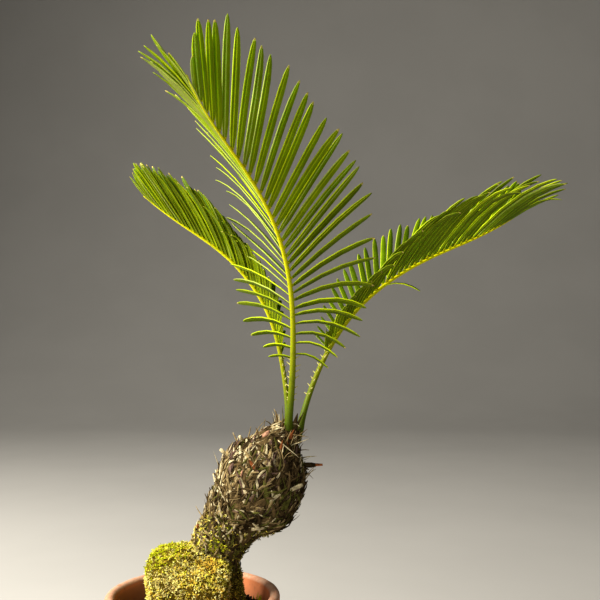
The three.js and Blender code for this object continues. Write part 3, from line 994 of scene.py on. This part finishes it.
class SAGO_OT_moss(bpy.types.Operator):
    """Heap the moss cushion and clothe it in shoots"""

    bl_idname = "sago.moss"
    bl_label = "Moss"

    def execute(self, context):
        sago = context.scene.sago_palm
        mesh = self.heap(sago.ground)
        litter = speckled("moss_litter", sago.ground.litter, scale=260.0, bump=0.8)
        new_piece("moss_mound", mesh, [litter], "moss", "moss_cushion")
        self.clothe(sago, mesh)
        return {"FINISHED"}

    def heap(self, ground):
        """A squarish mound, lumpy all over, that falls away to the right and the front."""
        bm = bmesh.new()
        bmesh.ops.create_uvsphere(bm, u_segments=96, v_segments=64, radius=1.0)
        top = MOSS_HIGH.z - 5.5 * MM
        power = ground.squareness
        for vert in bm.verts:
            x, y, z = vert.co
            angle = math.atan2(y, x)
            c, s = math.cos(angle), math.sin(angle)
            square = (abs(c) ** power + abs(s) ** power) ** (-1 / power)
            if z > 0:
                flat = math.hypot(x, y)
                boxy = (flat**ground.flatness + z**ground.flatness) ** (-1 / ground.flatness)
                width, level = boxy * flat, 0.35 + 0.65 * boxy * z
            else:
                drop = min(1.0, -z / 0.8)
                width, level = (1 - 0.07 * drop) * min(1.0, (1 + z) / 0.2), 0.35 * (1 - drop)
            width = max(0.0, width) * square
            fall = (ground.moss_fall * max(0.0, c * width) + ground.moss_front * max(0.0, -s * width)) * level
            vert.co = (
                ground.moss_x + (ground.moss_half_width - 2.5 * MM) * width * c,
                ground.moss_y + (ground.moss_half_depth - 2.5 * MM) * width * s,
                MOSS_LOW.z + (top - MOSS_LOW.z) * level - fall,
            )
        bm.normal_update()
        for vert in bm.verts:
            lump = 2.4 * MM * rough(vert.co, 45) + 1.4 * MM * rough(vert.co, 190)
            vert.co += vert.normal * lump
            vert.co.z = max(vert.co.z, MOSS_LOW.z)
        return bmesh_mesh("moss_mound", bm)

    def tones(self, places, rng):
        """Lime at the upper left, yellow and ochre in patches, straw and olive lower down."""
        patch = np.array([rough(place, 55, 2) for place in places])
        blot = np.array([rough(place + 7.0, 80, 2) for place in places])
        high = (places[:, 2] - MOSS_LOW.z) / (MOSS_HIGH.z - MOSS_LOW.z)
        left = (MOSS_HIGH.x - places[:, 0]) / (MOSS_HIGH.x - MOSS_LOW.x)
        score = np.stack(
            [
                3.0 * (high - 0.8) + 2.2 * (left - 0.5) + 0.4 * patch,
                0.4 + 0.4 * patch,
                0.2 - 0.6 * patch,
                # Straw leans to the right as painted light, olive marks the right edge as painted shade.
                0.2 + 0.6 * blot + 0.3 * (1 - left),
                1.6 * np.clip(1 - left / 0.14, 0, 1) - 0.7 - 0.8 * blot + 0.2 * (0.5 - high),
            ],
            axis=1,
        )
        for across, height, radius, tone in MOSS_SPOTS:
            gap = np.hypot(places[:, 0] - across * MM, places[:, 2] - height * MM) / (radius * MM)
            score[:, MOSS_TONES.index(tone)] += np.exp(-(gap**2))
        return np.argmax(score + 0.32 * rng.standard_normal(score.shape), axis=1)

    def clothe(self, sago, mesh):
        """Shoots all over the cushion, in two pieces by their tone."""
        rng = np.random.default_rng(SEEDS["moss"])
        ground = sago.ground
        places, normals = scatter(mesh, ground.rosettes, rng)
        keep = ~inside_trunk(sago.trunk, places) & (normals[:, 2] > -0.35)
        places, normals = places[keep], normals[keep]
        sizes = ground.shoot_length * (0.6 + 0.6 * rng.random(len(places)))
        rings = moss_rosettes(places - 0.8 * MM * normals, unit(normals + 0.2 * UP), sizes, rng)
        tones = np.repeat(self.tones(places, rng), ROSETTE)
        fresh = tones < MOSS_TONES.index("ochre")
        for number, chosen in enumerate((fresh, ~fresh), 1):
            slots = shoot_slots(tones[chosen], rng)
            skins = moss_materials(ground)
            loft_piece(f"moss_shoots_{number}", rings[chosen], skins, "moss", slots=slots, smooth=False)


# Trunk


TRUNK_RINGS = 110
TRUNK_CORNERS = 90
BASE_TONES = ("cream", "straw", "umber", "plum", "olive", "rust", "shade", "blush")
# The two kinds of old leaf bases. spreads holds the mean and the deviation of their flare in degrees, skew,
# length, width and depth in mm, curl and sweep. dealt holds the shares of cream, straw and plum among them.
LEAF_BASES = {
    "leaf_base_plates": {
        "seed": 31,
        "lowest": 0.4,
        "sunk": 2.6,
        "outline": (0.8, 1.0, 0.97, 0.78, 0.5, 0.2),
        "corners": 8,
        "spreads": ((8, 5), (0, 0.25), (13, 2.5), (7, 1.5), (2.0, 0.4), (0, 0.06), (0, 0.1)),
        "dealt": (0.05, 0.14, 0.4),
    },
    "leaf_base_slivers": {
        "seed": 37,
        "lowest": 0.16,
        "sunk": 0.9,
        "outline": (0.7, 1.0, 0.85, 1.0, 0.8, 0.4),
        "corners": 5,
        "spreads": ((3, 5), (0, 0.55), (12.5, 3.5), (2.0, 0.6), (1.1, 0.2), (-0.05, 0.12), (0, 0.42)),
        "dealt": (0.32, 0.34, 0.08),
    },
}
# Fraction along the trunk, degrees round it, height off it, length, width and depth in mm, blunt, way, colour
REMAINS = (
    (0.69, 180, -1, 9, 4.2, 3.4, 1, (-1, 0, 0.9), "cream"),
    (0.79, 183, -2, 9, 5, 3, 1, (-0.5, -0.2, 1), "cream"),
    (0.49, 299, -0.5, 12, 3.8, 1.8, 1, (1, 0.1, 0.12), "cream"),
    (0.7, 311, -0.5, 12, 4.4, 2.4, 1, (1, 0.2, 0.4), "cream"),
    (0.86, 212, -2, 9, 5, 3, 1, (0.75, -0.35, 0.5), "blush"),
    (0.77, 180, -1, 13, 1.1, 1.0, 0, (-0.35, 0, 1), "straw"),
    (0.9, 259, 1, 23, 1.1, 0.9, 0, (0.78, -0.12, -0.6), "cream"),
    (0.8, 1, -4, 15, 5.5, 4.5, 1, (1, -0.1, 0), "shade"),
    (0.8, 1, -4, 21, 3, 2.6, 1, (1, -0.1, 0.02), "rust"),
    (0.85, 280, -1, 11, 2.6, 1.2, 0, (0.15, -0.15, 1), "rust"),
    (0.65, 240, -1, 9, 3.2, 1.2, 0, (0.3, -0.3, 0.8), "blush"),
    (0.36, 202, -1, 5, 3.4, 2.4, 1, (-0.4, -0.6, 0.5), "rust"),
    (1.0, 330, -5, 19, 3.4, 1.6, 0, (0.35, 0, 1), "umber"),
    (0.74, 350, 0, 14, 1.1, 0.9, 0, (0.6, -0.1, 1), "straw"),
    (0.76, 355, 1, 11, 0.9, 0.8, 0, (0.9, -0.1, 0.8), "straw"),
    (0.9, 350, -1, 12, 1.2, 0.9, 0, (0.35, 0, 1), "olive"),
    (1.0, 300, -5, 16, 5, 2, 0, (0.18, 0, 1), "umber"),
    (0.97, 200, -3, 17, 1.1, 0.9, 0, (-0.35, 0, 1), "straw"),
    (0.97, 215, -3, 19, 1.1, 0.9, 0, (0.05, 0, 1), "olive"),
    (0.95, 190, -2, 15, 1.2, 0.9, 0, (-0.1, 0, 1), "straw"),
)


class SAGO_OT_trunk(bpy.types.Operator):
    """Raise the leaning trunk and clothe it in old leaf bases, fibres, bud scales and moss"""

    bl_idname = "sago.trunk"
    bl_label = "Trunk"

    def execute(self, context):
        sago = context.scene.sago_palm
        trunk = sago.trunk
        self.materials = [
            speckled("base_" + tone, getattr(trunk, tone), low=0.55, high=1.3, scale=260.0, bump=0.5)
            for tone in BASE_TONES
        ]
        core = self.core(trunk)
        self.leaf_bases("leaf_base_plates", trunk, trunk.plates)
        self.leaf_bases("leaf_base_slivers", trunk, trunk.slivers)
        self.remains(trunk)
        self.straws(trunk)
        self.bud_scales(trunk)
        self.neck_moss(sago.ground, core.data)
        return {"FINISHED"}

    def core(self, trunk):
        """The trunk's body, with a fibrous relief, from a flat cut at the soil to the crown."""
        t = np.linspace(0.0, 1.0, TRUNK_RINGS)
        centre, _, side, back = trunk_axis(trunk, t)
        turn = 2 * np.pi * np.arange(TRUNK_CORNERS) / TRUNK_CORNERS
        out = side[:, None] * np.cos(turn)[None, :, None] + back[:, None] * np.sin(turn)[None, :, None]
        radius = through(trunk.radius, t) * MM - 1.0 * MM
        rings = centre[:, None] + radius[:, None, None] * out
        relief = np.array([2.0 * rough(p, 90) + 1.0 * rough(p, 330) for p in rings.reshape(-1, 3)])
        rings = rings + MM * relief.reshape(TRUNK_RINGS, TRUNK_CORNERS, 1) * out
        rings[..., 2] = np.maximum(rings[..., 2], SOIL_TOP + 0.3 * MM)
        return loft_piece("trunk_core", rings[None], [bark_material(trunk)], "bark", "trunk")

    def deal(self, t, out, dealt, rng):
        """Tone of each leaf base: bleached on the left, mossy low on the right, rusty by the crown."""
        cream, straw, plum = dealt
        left = np.maximum(0, 0.5 - 0.5 * out[:, 0] + 0.25 * out[:, 2])
        share = np.stack(
            [
                cream * left**1.5 + 0.05,
                straw * (0.3 + left),
                0.4 + 0.1 * left,
                plum * np.exp(-(((t - 0.72) / 0.14) ** 2)),
                0.36 * (1.1 - left) * (1.25 - t) + 0.05,
                0.01 * t**2,
                # Painted shade: shade is dealt more to the right side, which faces away from the light.
                0.2 + 0.55 * np.clip(0.5 - left, 0, 0.5),
            ],
            axis=1,
        )
        luck = rng.gumbel(size=share.shape)
        return np.argmax(np.log(np.maximum(share, 1e-4)) + luck, axis=1)

    def leaf_bases(self, name, trunk, count):
        """Old leaf bases in a spiral, torn scales that lie up the trunk and stand a little out of it."""
        kind = LEAF_BASES[name]
        outline, corners = kind["outline"], kind["corners"]
        rng = np.random.default_rng(kind["seed"])
        t = along_trunk(trunk, kind["lowest"], 0.985, count, rng)
        angles = np.arange(count) * GOLDEN_ANGLE + 0.3 * rng.standard_normal(count)
        centre, along, out = round_trunk(trunk, t, angles)
        radius = through(trunk.radius, t) * MM
        drawn = [rng.normal(mean, deviation, count) for mean, deviation in kind["spreads"]]
        flare, skew, lengths, widths, thick, curls, sweeps = drawn
        size = (0.6 + 0.45 * np.clip(radius / (35 * MM), 0, 1)) * MM
        lengths, widths, thick = size * lengths.clip(3.5), size * widths.clip(0.7), size * thick.clip(0.4)
        slope = trunk_slope(trunk, t)[:, None]
        feet = centre + (radius - kind["sunk"] * MM)[:, None] * out
        rise = np.tan(np.radians(flare))[:, None] + slope
        ways = unit(along + rise * out + skew[:, None] * np.cross(along, out))
        ups = out - slope * along
        rings = blades(feet, ways, ups, lengths, widths, thick, curls, outline, corners, sweeps)
        ragged = 1 + 0.22 * rng.standard_normal(rings.shape[:3])[..., None]
        middle = rings.mean(axis=2, keepdims=True)
        lifts = (rng.normal(1.2, 0.9, count) + 1.4 * np.maximum(0, -out[:, 0])).clip(0.1, 4.2) * MM
        rings = hugged(trunk, middle + (rings - middle) * ragged, lifts)
        slots = plain_slots(rings, self.deal(t, out, kind["dealt"], rng))
        loft_piece(name, rings, self.materials, "bark", slots=slots, smooth=False)

    def remains(self, trunk):
        """Stubs, torn ends and a dry spike that stand out from the rest."""
        columns = list(zip(*REMAINS))
        t, turn, lift, long, wide, deep, blunt = (np.array(row, float) for row in columns[:7])
        centre, _, out = round_trunk(trunk, t, np.radians(turn))
        feet = centre + (through(trunk.radius, t) + lift)[:, None] * MM * out
        ways = unit(np.array(columns[7], float))
        sizes = (long * MM, wide * MM, deep * MM)
        pointed = blades(feet, ways, out, *sizes, np.full(len(t), 0.1), (0.9, 1, 0.9, 0.6, 0.15), 7)
        stubby = blades(feet, ways, out, *sizes, np.zeros(len(t)), (0.85, 0.9, 1, 1, 0.7), 7)
        rings = np.where(blunt[:, None, None, None] > 0, stubby, pointed)
        tones = np.array([BASE_TONES.index(tone) for tone in columns[8]])
        loft_piece("stubs", rings, self.materials, "bark", slots=plain_slots(rings, tones))

    def straws(self, trunk):
        """Thin loose fibres that cling to the trunk or stick out of it."""
        rng = np.random.default_rng(SEEDS["straws"])
        count = trunk.straws
        t = 0.35 + 0.64 * rng.random(count)
        angles = 2 * np.pi * rng.random(count)
        centre, along, out = round_trunk(trunk, t, angles)
        feet = centre + (through(trunk.radius, t) * MM)[:, None] * out
        ways = unit(along + 0.35 * out + 0.5 * rng.standard_normal((count, 3)))
        lengths = rng.normal(13, 4, count).clip(6, 22) * MM
        widths = rng.normal(0.8, 0.2, count).clip(0.4, 1.4) * MM
        curls = 0.2 * rng.standard_normal(count)
        shares = (1.0, 1.0, 0.9, 0.7, 0.3)
        rings = blades(feet, ways, out, lengths, widths, widths, curls, shares, 4)
        tones = rng.choice(3, count, p=[0.25, 0.45, 0.3])
        loft_piece("loose_straws", rings, self.materials, "bark", slots=plain_slots(rings, tones))

    def bud_scales(self, trunk):
        """Pointed brown scales that stand round the feet of the stalks."""
        rng = np.random.default_rng(SEEDS["bud_scales"])
        count = trunk.bud_scales
        centre, along, out = round_trunk(trunk, np.full(count, 0.97), np.arange(count) * GOLDEN_ANGLE)
        ring = (4 + 7 * rng.random(count)) * MM
        feet = centre + ring[:, None] * out - 6 * MM * along
        ways = unit(np.array((0.2, 0.0, 1.0)) + 0.32 * out + 0.1 * rng.standard_normal((count, 3)))
        lengths = rng.normal(15, 3, count).clip(9, 21) * MM
        widths = rng.normal(5, 1, count).clip(3, 7) * MM
        thick = np.full(count, 1.2 * MM)
        curls = 0.12 * rng.standard_normal(count)
        shares = (0.9, 1.0, 0.85, 0.55, 0.28, 0.08)
        rings = blades(feet, ways, out, lengths, widths, thick, curls, shares, 6)
        tones = rng.choice(6, count, p=[0.12, 0.28, 0.34, 0.06, 0.02, 0.18])
        loft_piece("bud_scales", rings, self.materials, "bark", slots=plain_slots(rings, tones))

    def neck_moss(self, ground, mesh):
        """Moss that creeps from the cushion up the neck of the trunk."""
        rng = np.random.default_rng(SEEDS["neck_moss"])
        places, normals = scatter(mesh, ground.neck_rosettes, rng)
        height = places[:, 2] - SOIL_TOP
        patch = np.array([rough(place, 40, 2) for place in places])
        left = -normals[:, 0]
        reach = 76 * MM + 18 * MM * left + 16 * MM * patch
        wanted = (reach - height) / (24 * MM) - 0.5 * np.maximum(0, -left)
        keep = (wanted > rng.random(len(places))) & (height > 1 * MM) & ~inside_mound(ground, places)
        places, normals, left = places[keep], normals[keep], left[keep]
        sizes = 0.85 * ground.shoot_length * (0.5 + 0.7 * rng.random(len(places)))
        rings = moss_rosettes(places + 0.2 * MM * normals, unit(normals + 0.2 * UP), sizes, rng)
        clump = np.linalg.norm(places - np.array(ground.green_clump), axis=1) / (12 * MM)
        green = 1.6 * np.exp(-(clump**2))
        # Painted light and shade: yellow and straw on the side that faces left towards the light, olive on
        # the side turned away.
        rows = [green - 0.2, 0.2 + 0.5 * left, 0.1 + 0 * left, 0.35 + 0.3 * left, 0.9 - 0.7 * left]
        score = np.stack(rows, axis=1)
        tones = np.repeat(np.argmax(score + 0.4 * rng.standard_normal(score.shape), axis=1), ROSETTE)
        slots = shoot_slots(tones, rng)
        loft_piece("neck_moss", rings, moss_materials(ground), "moss", slots=slots, smooth=False)


# Fronds


class Rib:
    """The course of one frond's stalk and rib, with its directions at fractions of its length."""

    STEPS = 160

    def __init__(self, frond, tip_radius):
        self.frond = frond
        self.tip_radius = tip_radius
        middles = (np.arange(self.STEPS) + 0.5) / self.STEPS
        course = np.cumsum(self.along(middles) * frond.size / self.STEPS, axis=0)
        foot = np.array(frond.foot) * MM
        self.places = np.vstack([foot, foot + course])
        face = math.radians(frond.face)
        self.back = np.array((math.cos(face), math.sin(face), 0.0))

    def along(self, t):
        tilt, turn = np.radians(through(self.frond.lean, t)), np.radians(through(self.frond.heading, t))
        return np.stack([np.sin(tilt) * np.cos(turn), np.sin(tilt) * np.sin(turn), np.cos(tilt)], axis=-1)

    def point(self, t):
        marks = np.linspace(0.0, 1.0, self.STEPS + 1)
        return np.stack([np.interp(t, marks, self.places[:, k]) for k in range(3)], axis=-1)

    def directions(self, t):
        along = self.along(t)
        upper = -unit(self.back - dot(along, self.back) * along)
        return along, upper, np.cross(along, upper)

    def radius(self, t):
        frond = self.frond
        return frond.stalk + (self.tip_radius - frond.stalk) * np.asarray(t, float) ** 0.8


RIB_RINGS = 100
RIB_CORNERS = 16
# Cross-section of a leaflet: over the top, round the rolled edge and back under the keeled midrib
LEAFLET_ACROSS = (1.0, 0.84, 0.0, -0.84, -1.0, -0.78, -0.13, 0.13, 0.78)
LEAFLET_UP = (-0.1, 0.27, 0.08, 0.27, -0.1, -0.75, -0.3, -0.3, -0.75)
LEAFLET_SECTION = np.stack([LEAFLET_ACROSS, LEAFLET_UP], axis=-1)
LEAFLET_PARTS = ("margin", "upper", "upper", "margin", "margin", "under", "margin", "under", "margin")
# Which edge each side of the section belongs to, 0 for none
LEAFLET_EDGES = (1, 0, 0, -1, -1, 0, 0, 0, 1)
# Places along a leaflet and its share of the full width there
LEAFLET_PLACES = np.array((0.0, 0.03, 0.14, 0.36, 0.6, 0.8, 0.92, 0.975, 1.0))
LEAFLET_SHARES = np.array((0.35, 0.55, 0.9, 1.0, 1.0, 0.92, 0.68, 0.4, 0.12))


class SAGO_OT_fronds(bpy.types.Operator):
    """Grow the fronds: ribs, leaflets and spines"""

    bl_idname = "sago.fronds"
    bl_label = "Fronds"

    def execute(self, context):
        sago = context.scene.sago_palm
        leaf = sago.leaf
        self.rib_skin = rib_material(leaf)
        self.spine_skin = leaf_material("spine_skin", leaf.spine, 0.45)
        self.leaf_skins, self.slots = self.skins(leaf)
        for number, name in enumerate(("frond_front", "frond_left", "frond_right")):
            frond = getattr(sago, name)
            rib = Rib(frond, leaf.tip_radius)
            rng = np.random.default_rng(SEEDS["fronds"] + number)
            self.grow_rib(name, rib, leaf)
            self.grow_spines(name, rib, leaf, rng)
            self.grow_leaflets(name, rib, leaf, rng)
        return {"FINISHED"}

    def skins(self, leaf):
        """Leaf surfaces by part, those along the blade in several tones."""
        materials, slots = [], {}
        # The third number brightens the pale copy of each part; on the margins it is a painted highlight.
        for part, roughness, sheen_gain in (("upper", 0.36, 1.0), ("under", 0.5, 1.0), ("margin", 0.45, 1.45)):
            own = getattr(leaf, part)
            tones = (tinted(own, 0.6), own, tinted(own, 1.65), tinted(leaf.pale, sheen_gain))
            for tone, base in enumerate(tones):
                slots[part, tone] = len(materials)
                materials.append(leaf_material(f"leaflet_{part}_{tone}", base, roughness))
        for part in ("foot", "tip"):
            slots[part] = len(materials)
            materials.append(leaf_material("leaflet_" + part, getattr(leaf, part), 0.45))
        return materials, slots

    def grow_rib(self, name, rib, leaf):
        """One tapering limb, flattened on top, swollen at its foot and sunk in the crown."""
        t = np.linspace(0.0, 1.0, RIB_RINGS)
        along, upper, side = rib.directions(t)
        centre = rib.point(t)
        centre = np.vstack([centre[:1] - leaf.sunk * along[:1], centre])
        upper, side = (np.vstack([rows[:1], rows]) for rows in (upper, side))
        t = np.concatenate([[0.0], t])
        radius = rib.radius(t) * (1 + 0.3 * np.exp(-t / 0.025))
        angles = 2 * np.pi * np.arange(RIB_CORNERS) / RIB_CORNERS
        flat = 1 - 0.16 * np.clip(np.sin(angles), 0, 1) ** 2
        ring = oval(angles) * flat[:, None]
        spread = ring[None, :, :1] * -side[:, None] + ring[None, :, 1:] * upper[:, None]
        rings = centre[:, None] + radius[:, None, None] * spread
        piece = loft_piece(name + "_rib", rings[None], [self.rib_skin], "leaf", name)
        marks = piece.data.attributes.new("along", "FLOAT", "POINT")
        marks.data.foreach_set("value", np.repeat(t, RIB_CORNERS).astype(np.float32))

    def grow_spines(self, name, rib, leaf, rng):
        """Short spines up both edges of the stalk, longer towards the leaflets."""
        count = leaf.spines
        feet, ways, ups, lengths = [], [], [], []
        for sign in (-1, 1):
            t = rib.frond.bare * (0.35 + 0.62 * (np.arange(count) + 0.5 * rng.random(count)) / count)
            along, upper, side = rib.directions(t)
            feet.append(rib.point(t) + 0.5 * rib.radius(t)[:, None] * (sign * side + 0.5 * upper))
            stray = 0.12 * rng.standard_normal((count, 3))
            ways.append(unit(sign * side + 0.45 * upper + 0.35 * along + stray))
            ups.append(along)
            lengths.append((2.6 + 3.4 * t / rib.frond.bare + 0.5 * rng.standard_normal(count)) * MM)
        thick = np.full(2 * count, 1.7 * MM)
        curls = np.full(2 * count, 0.12)
        shares = (1.0, 0.75, 0.4, 0.08)
        feet, ways, ups, lengths = (np.concatenate(rows) for rows in (feet, ways, ups, lengths))
        rings = blades(feet, ways, ups, lengths, thick, thick, curls, shares, 6)
        loft_piece(name + "_spines", rings, [self.spine_skin], "leaf")

    def grow_leaflets(self, name, rib, leaf, rng):
        """Both rows of leaflets as one mesh."""
        frond = rib.frond
        prefixes = ("near", "far")
        rings = np.concatenate([self.row(rib, leaf, rng, prefix) for prefix in prefixes])
        count, sections, corners = rings.shape[:3]
        share = (np.arange(frond.pairs) + 0.5) / frond.pairs
        # The rows' tones paint light and shade, with some random spread.
        tones = np.concatenate([through(getattr(frond, prefix + "_tone"), share) for prefix in prefixes])
        tones = np.clip(np.rint(tones + 0.36 * rng.standard_normal(count)), 0, 3).astype(int)
        # Painted highlights: some margins are lighter, and the edge on the row's own side, which catches the
        # light, is lighter still.
        edges = np.clip(tones + rng.choice([0, 1, 2], count, p=[0.6, 0.22, 0.18]), 0, 3)
        lit = np.clip(tones + rng.choice([0, 1, 2], count, p=[0.2, 0.4, 0.4]), 0, 3)
        sides = np.repeat([getattr(frond, prefix + "_side") for prefix in prefixes], frond.pairs)
        slots = np.empty((count, sections - 1, corners), int)
        for corner, part in enumerate(LEAFLET_PARTS):
            own = edges if part == "margin" else tones
            own = np.where(sides == LEAFLET_EDGES[corner], lit, own)
            slots[:, :, corner] = np.array([self.slots[part, tone] for tone in own])[:, None]
        slots[:, 0] = self.slots["foot"]
        slots[rng.random(count) < 0.5, -1] = self.slots["tip"]
        slots = loft_slots(slots, np.full(count, self.slots["tip"]))
        loft_piece(name + "_leaflets", rings, self.leaf_skins, "leaf", name, slots=slots)

    def row(self, rib, leaf, rng, prefix):
        """Rings of one row of leaflets."""
        frond = rib.frond
        side_sign = getattr(frond, prefix + "_side")
        words = ("spread", "lift", "reach", "droop", "turn")
        spread, lift, reach, droop, turning = (getattr(frond, f"{prefix}_{word}") for word in words)
        count = frond.pairs
        share = (np.arange(count) + (0.25 if side_sign > 0 else 0.75)) / count
        t = through(frond.places, share + 0.06 / count * rng.standard_normal(count))
        w = np.clip((t - frond.bare) / (1 - frond.bare), 0, 1)
        along, upper, side = rib.directions(t)
        odd = (np.arange(count) == int(frond.stray[0])) & (prefix == "near")
        opening = np.radians(through(spread, w) + 0.7 * rng.standard_normal(count))[:, None]
        rise = np.where(odd, frond.stray[1], through(lift, w) + 1.2 * rng.standard_normal(count))
        rise = np.radians(rise)[:, None]
        ways = np.cos(opening) * along
        ways = ways + np.sin(opening) * (side_sign * np.cos(rise) * side + np.sin(rise) * upper)
        lengths = through(reach, w) * (1 + 0.018 * rng.standard_normal(count))
        lengths = np.where(odd, frond.stray[2], lengths) * MM
        sag = np.where(odd, frond.stray[3], through(droop, w) + 0.015 * rng.standard_normal(count))
        widths = leaf.width * frond.width * np.clip(lengths / (50 * MM), 0.45, 1.0)
        turn = np.radians(through(turning, w) + 4 * rng.standard_normal(count))
        u, shares = LEAFLET_PLACES, LEAFLET_SHARES
        feet = rib.point(t) + 0.6 * rib.radius(t)[:, None] * upper
        course = feet[:, None] + lengths[:, None, None] * (
            u[None, :, None] * ways[:, None] - (sag[:, None] * u[None] ** 2)[..., None] * UP
        )
        forward = unit(ways[:, None] - (2 * sag[:, None] * u[None])[..., None] * UP)
        face = -side_sign * unit(np.cross(along, ways))
        edge = np.cross(face, ways)
        face = face * np.cos(turn)[:, None] + side_sign * edge * np.sin(turn)[:, None]
        face = unit(face[:, None] - dot(face[:, None], forward) * forward)
        edge = np.cross(face, forward)
        tip_curl = 0.03 * rng.standard_normal(count) - 0.02
        course = course + (lengths * tip_curl)[:, None, None] * (u**4)[None, :, None] * face
        half = (widths[:, None] * shares[None] / 2)[:, :, None, None]
        cup = -0.16 * half * (LEAFLET_SECTION[:, 0] ** 2)[None, None, :, None]
        thick = leaf.thickness * np.maximum(shares, 0.3)[None, :, None, None]
        wide = half * LEAFLET_SECTION[None, None, :, :1] * edge[:, :, None]
        deep = (thick * LEAFLET_SECTION[None, None, :, 1:] + cup) * face[:, :, None]
        return course[:, :, None] + wide + deep


# Stage


# The floor in metres: its front, where it starts to rise, how round it rises, its top and half its width
FLOOR_FRONT = -4.0
RISE_START = 2.0
RISE_RADIUS = 1.5
RISE_STEPS = 16
FLOOR_TOP = 5.0
FLOOR_HALF_WIDTH = 6.0
# Name, place and size of each light, and the point that they face
LIGHTS = (
    ("key", (-1.2, -0.24, 1.25), 0.9),
    ("fill", (-0.35, -1.7, 0.75), 1.2),
    ("rim", (0.9, 1.3, 1.3), 0.9),
)
LIGHT_AIM = Vector((0.08, 0.0, 0.33))


class SAGO_OT_stage(bpy.types.Operator):
    """Set the camera, a pale floor that sweeps up behind, and soft lights"""

    bl_idname = "sago.stage"
    bl_label = "Stage"

    def execute(self, context):
        settings = context.scene.sago_palm.stage
        self.camera(context, settings)
        self.floor(settings)
        self.lights(context, settings)
        return {"FINISHED"}

    def camera(self, context, settings):
        data = bpy.data.cameras.new("camera")
        data.lens = settings.lens
        data.sensor_width = 36.0
        data.clip_start = 0.01
        camera = placed("camera", data)
        camera.location = settings.camera
        camera.rotation_euler = (math.pi / 2, 0.0, 0.0)
        context.scene.camera = camera

    def floor(self, settings):
        """A wide floor whose far edge curves up."""
        bm = bmesh.new()
        outline = [(FLOOR_FRONT, 0.0)]
        for k in range(RISE_STEPS + 1):
            angle = math.pi / 2 * k / RISE_STEPS
            depth = RISE_START + RISE_RADIUS * math.sin(angle)
            outline.append((depth, RISE_RADIUS - RISE_RADIUS * math.cos(angle)))
        outline.append((RISE_START + RISE_RADIUS, FLOOR_TOP))
        verts = [bm.verts.new((-FLOOR_HALF_WIDTH, y, z)) for y, z in outline]
        edges = [bm.edges.new(pair) for pair in zip(verts, verts[1:])]
        wide = bmesh.ops.extrude_edge_only(bm, edges=edges)
        moved = [item for item in wide["geom"] if isinstance(item, bmesh.types.BMVert)]
        bmesh.ops.translate(bm, verts=moved, vec=(2 * FLOOR_HALF_WIDTH, 0.0, 0.0))
        mesh = bmesh_mesh("floor", bm)
        mesh.materials.append(speckled("floor_paint", settings.floor, low=0.98, high=1.02, scale=3.0))
        floor = placed("floor", mesh)

    def lights(self, context, settings):
        for name, place, size in LIGHTS:
            data = bpy.data.lights.new(name + "_light", "AREA")
            data.energy = getattr(settings, name)
            data.size = size
            data.color = settings.light
            light = placed(name + "_light", data)
            light.location = place
            light.rotation_euler = (LIGHT_AIM - Vector(place)).to_track_quat("-Z", "Y").to_euler()
        world = bpy.data.worlds.new("surround")
        world.use_nodes = True
        backdrop = world.node_tree.nodes["Background"]
        backdrop.inputs["Color"].default_value = rgba(settings.surround)
        backdrop.inputs["Strength"].default_value = settings.ambient
        context.scene.world = world
        context.scene.view_settings.view_transform = "Standard"


class SAGO_PT_panel(bpy.types.Panel):
    """Lists the pieces of the potted palm"""

    bl_idname = "SAGO_PT_panel"
    bl_label = "Sago Palm"
    bl_space_type = "VIEW_3D"
    bl_region_type = "UI"
    bl_category = "Sago Palm"

    def draw(self, context):
        for operator in OPERATORS:
            self.layout.operator(operator.bl_idname)
        for part in SagoSettings.__annotations__:
            box = self.layout.box()
            box.label(text=part.replace("_", " ").title())
            settings = getattr(context.scene.sago_palm, part)
            for name in settings.__annotations__:
                box.prop(settings, name)


OPERATORS = (SAGO_OT_stage, SAGO_OT_pot, SAGO_OT_soil, SAGO_OT_moss, SAGO_OT_trunk, SAGO_OT_fronds)
SETTINGS = (PotSettings, GroundSettings, TrunkSettings, LeafSettings)
FRONDS = (FrontFrond, LeftFrond, RightFrond)
CLASSES = (*SETTINGS, *FRONDS, StageSettings, SagoSettings, *OPERATORS, SAGO_PT_panel)


def register():
    for cls in CLASSES:
        bpy.utils.register_class(cls)
    bpy.types.Scene.sago_palm = group("Sago palm", SagoSettings)


def unregister():
    del bpy.types.Scene.sago_palm
    for cls in reversed(CLASSES):
        bpy.utils.unregister_class(cls)


def main():
    register()
    bpy.ops.sago.stage()
    bpy.ops.sago.pot()
    bpy.ops.sago.soil()
    bpy.ops.sago.moss()
    bpy.ops.sago.trunk()
    bpy.ops.sago.fronds()


if __name__ == "__main__":
    main()
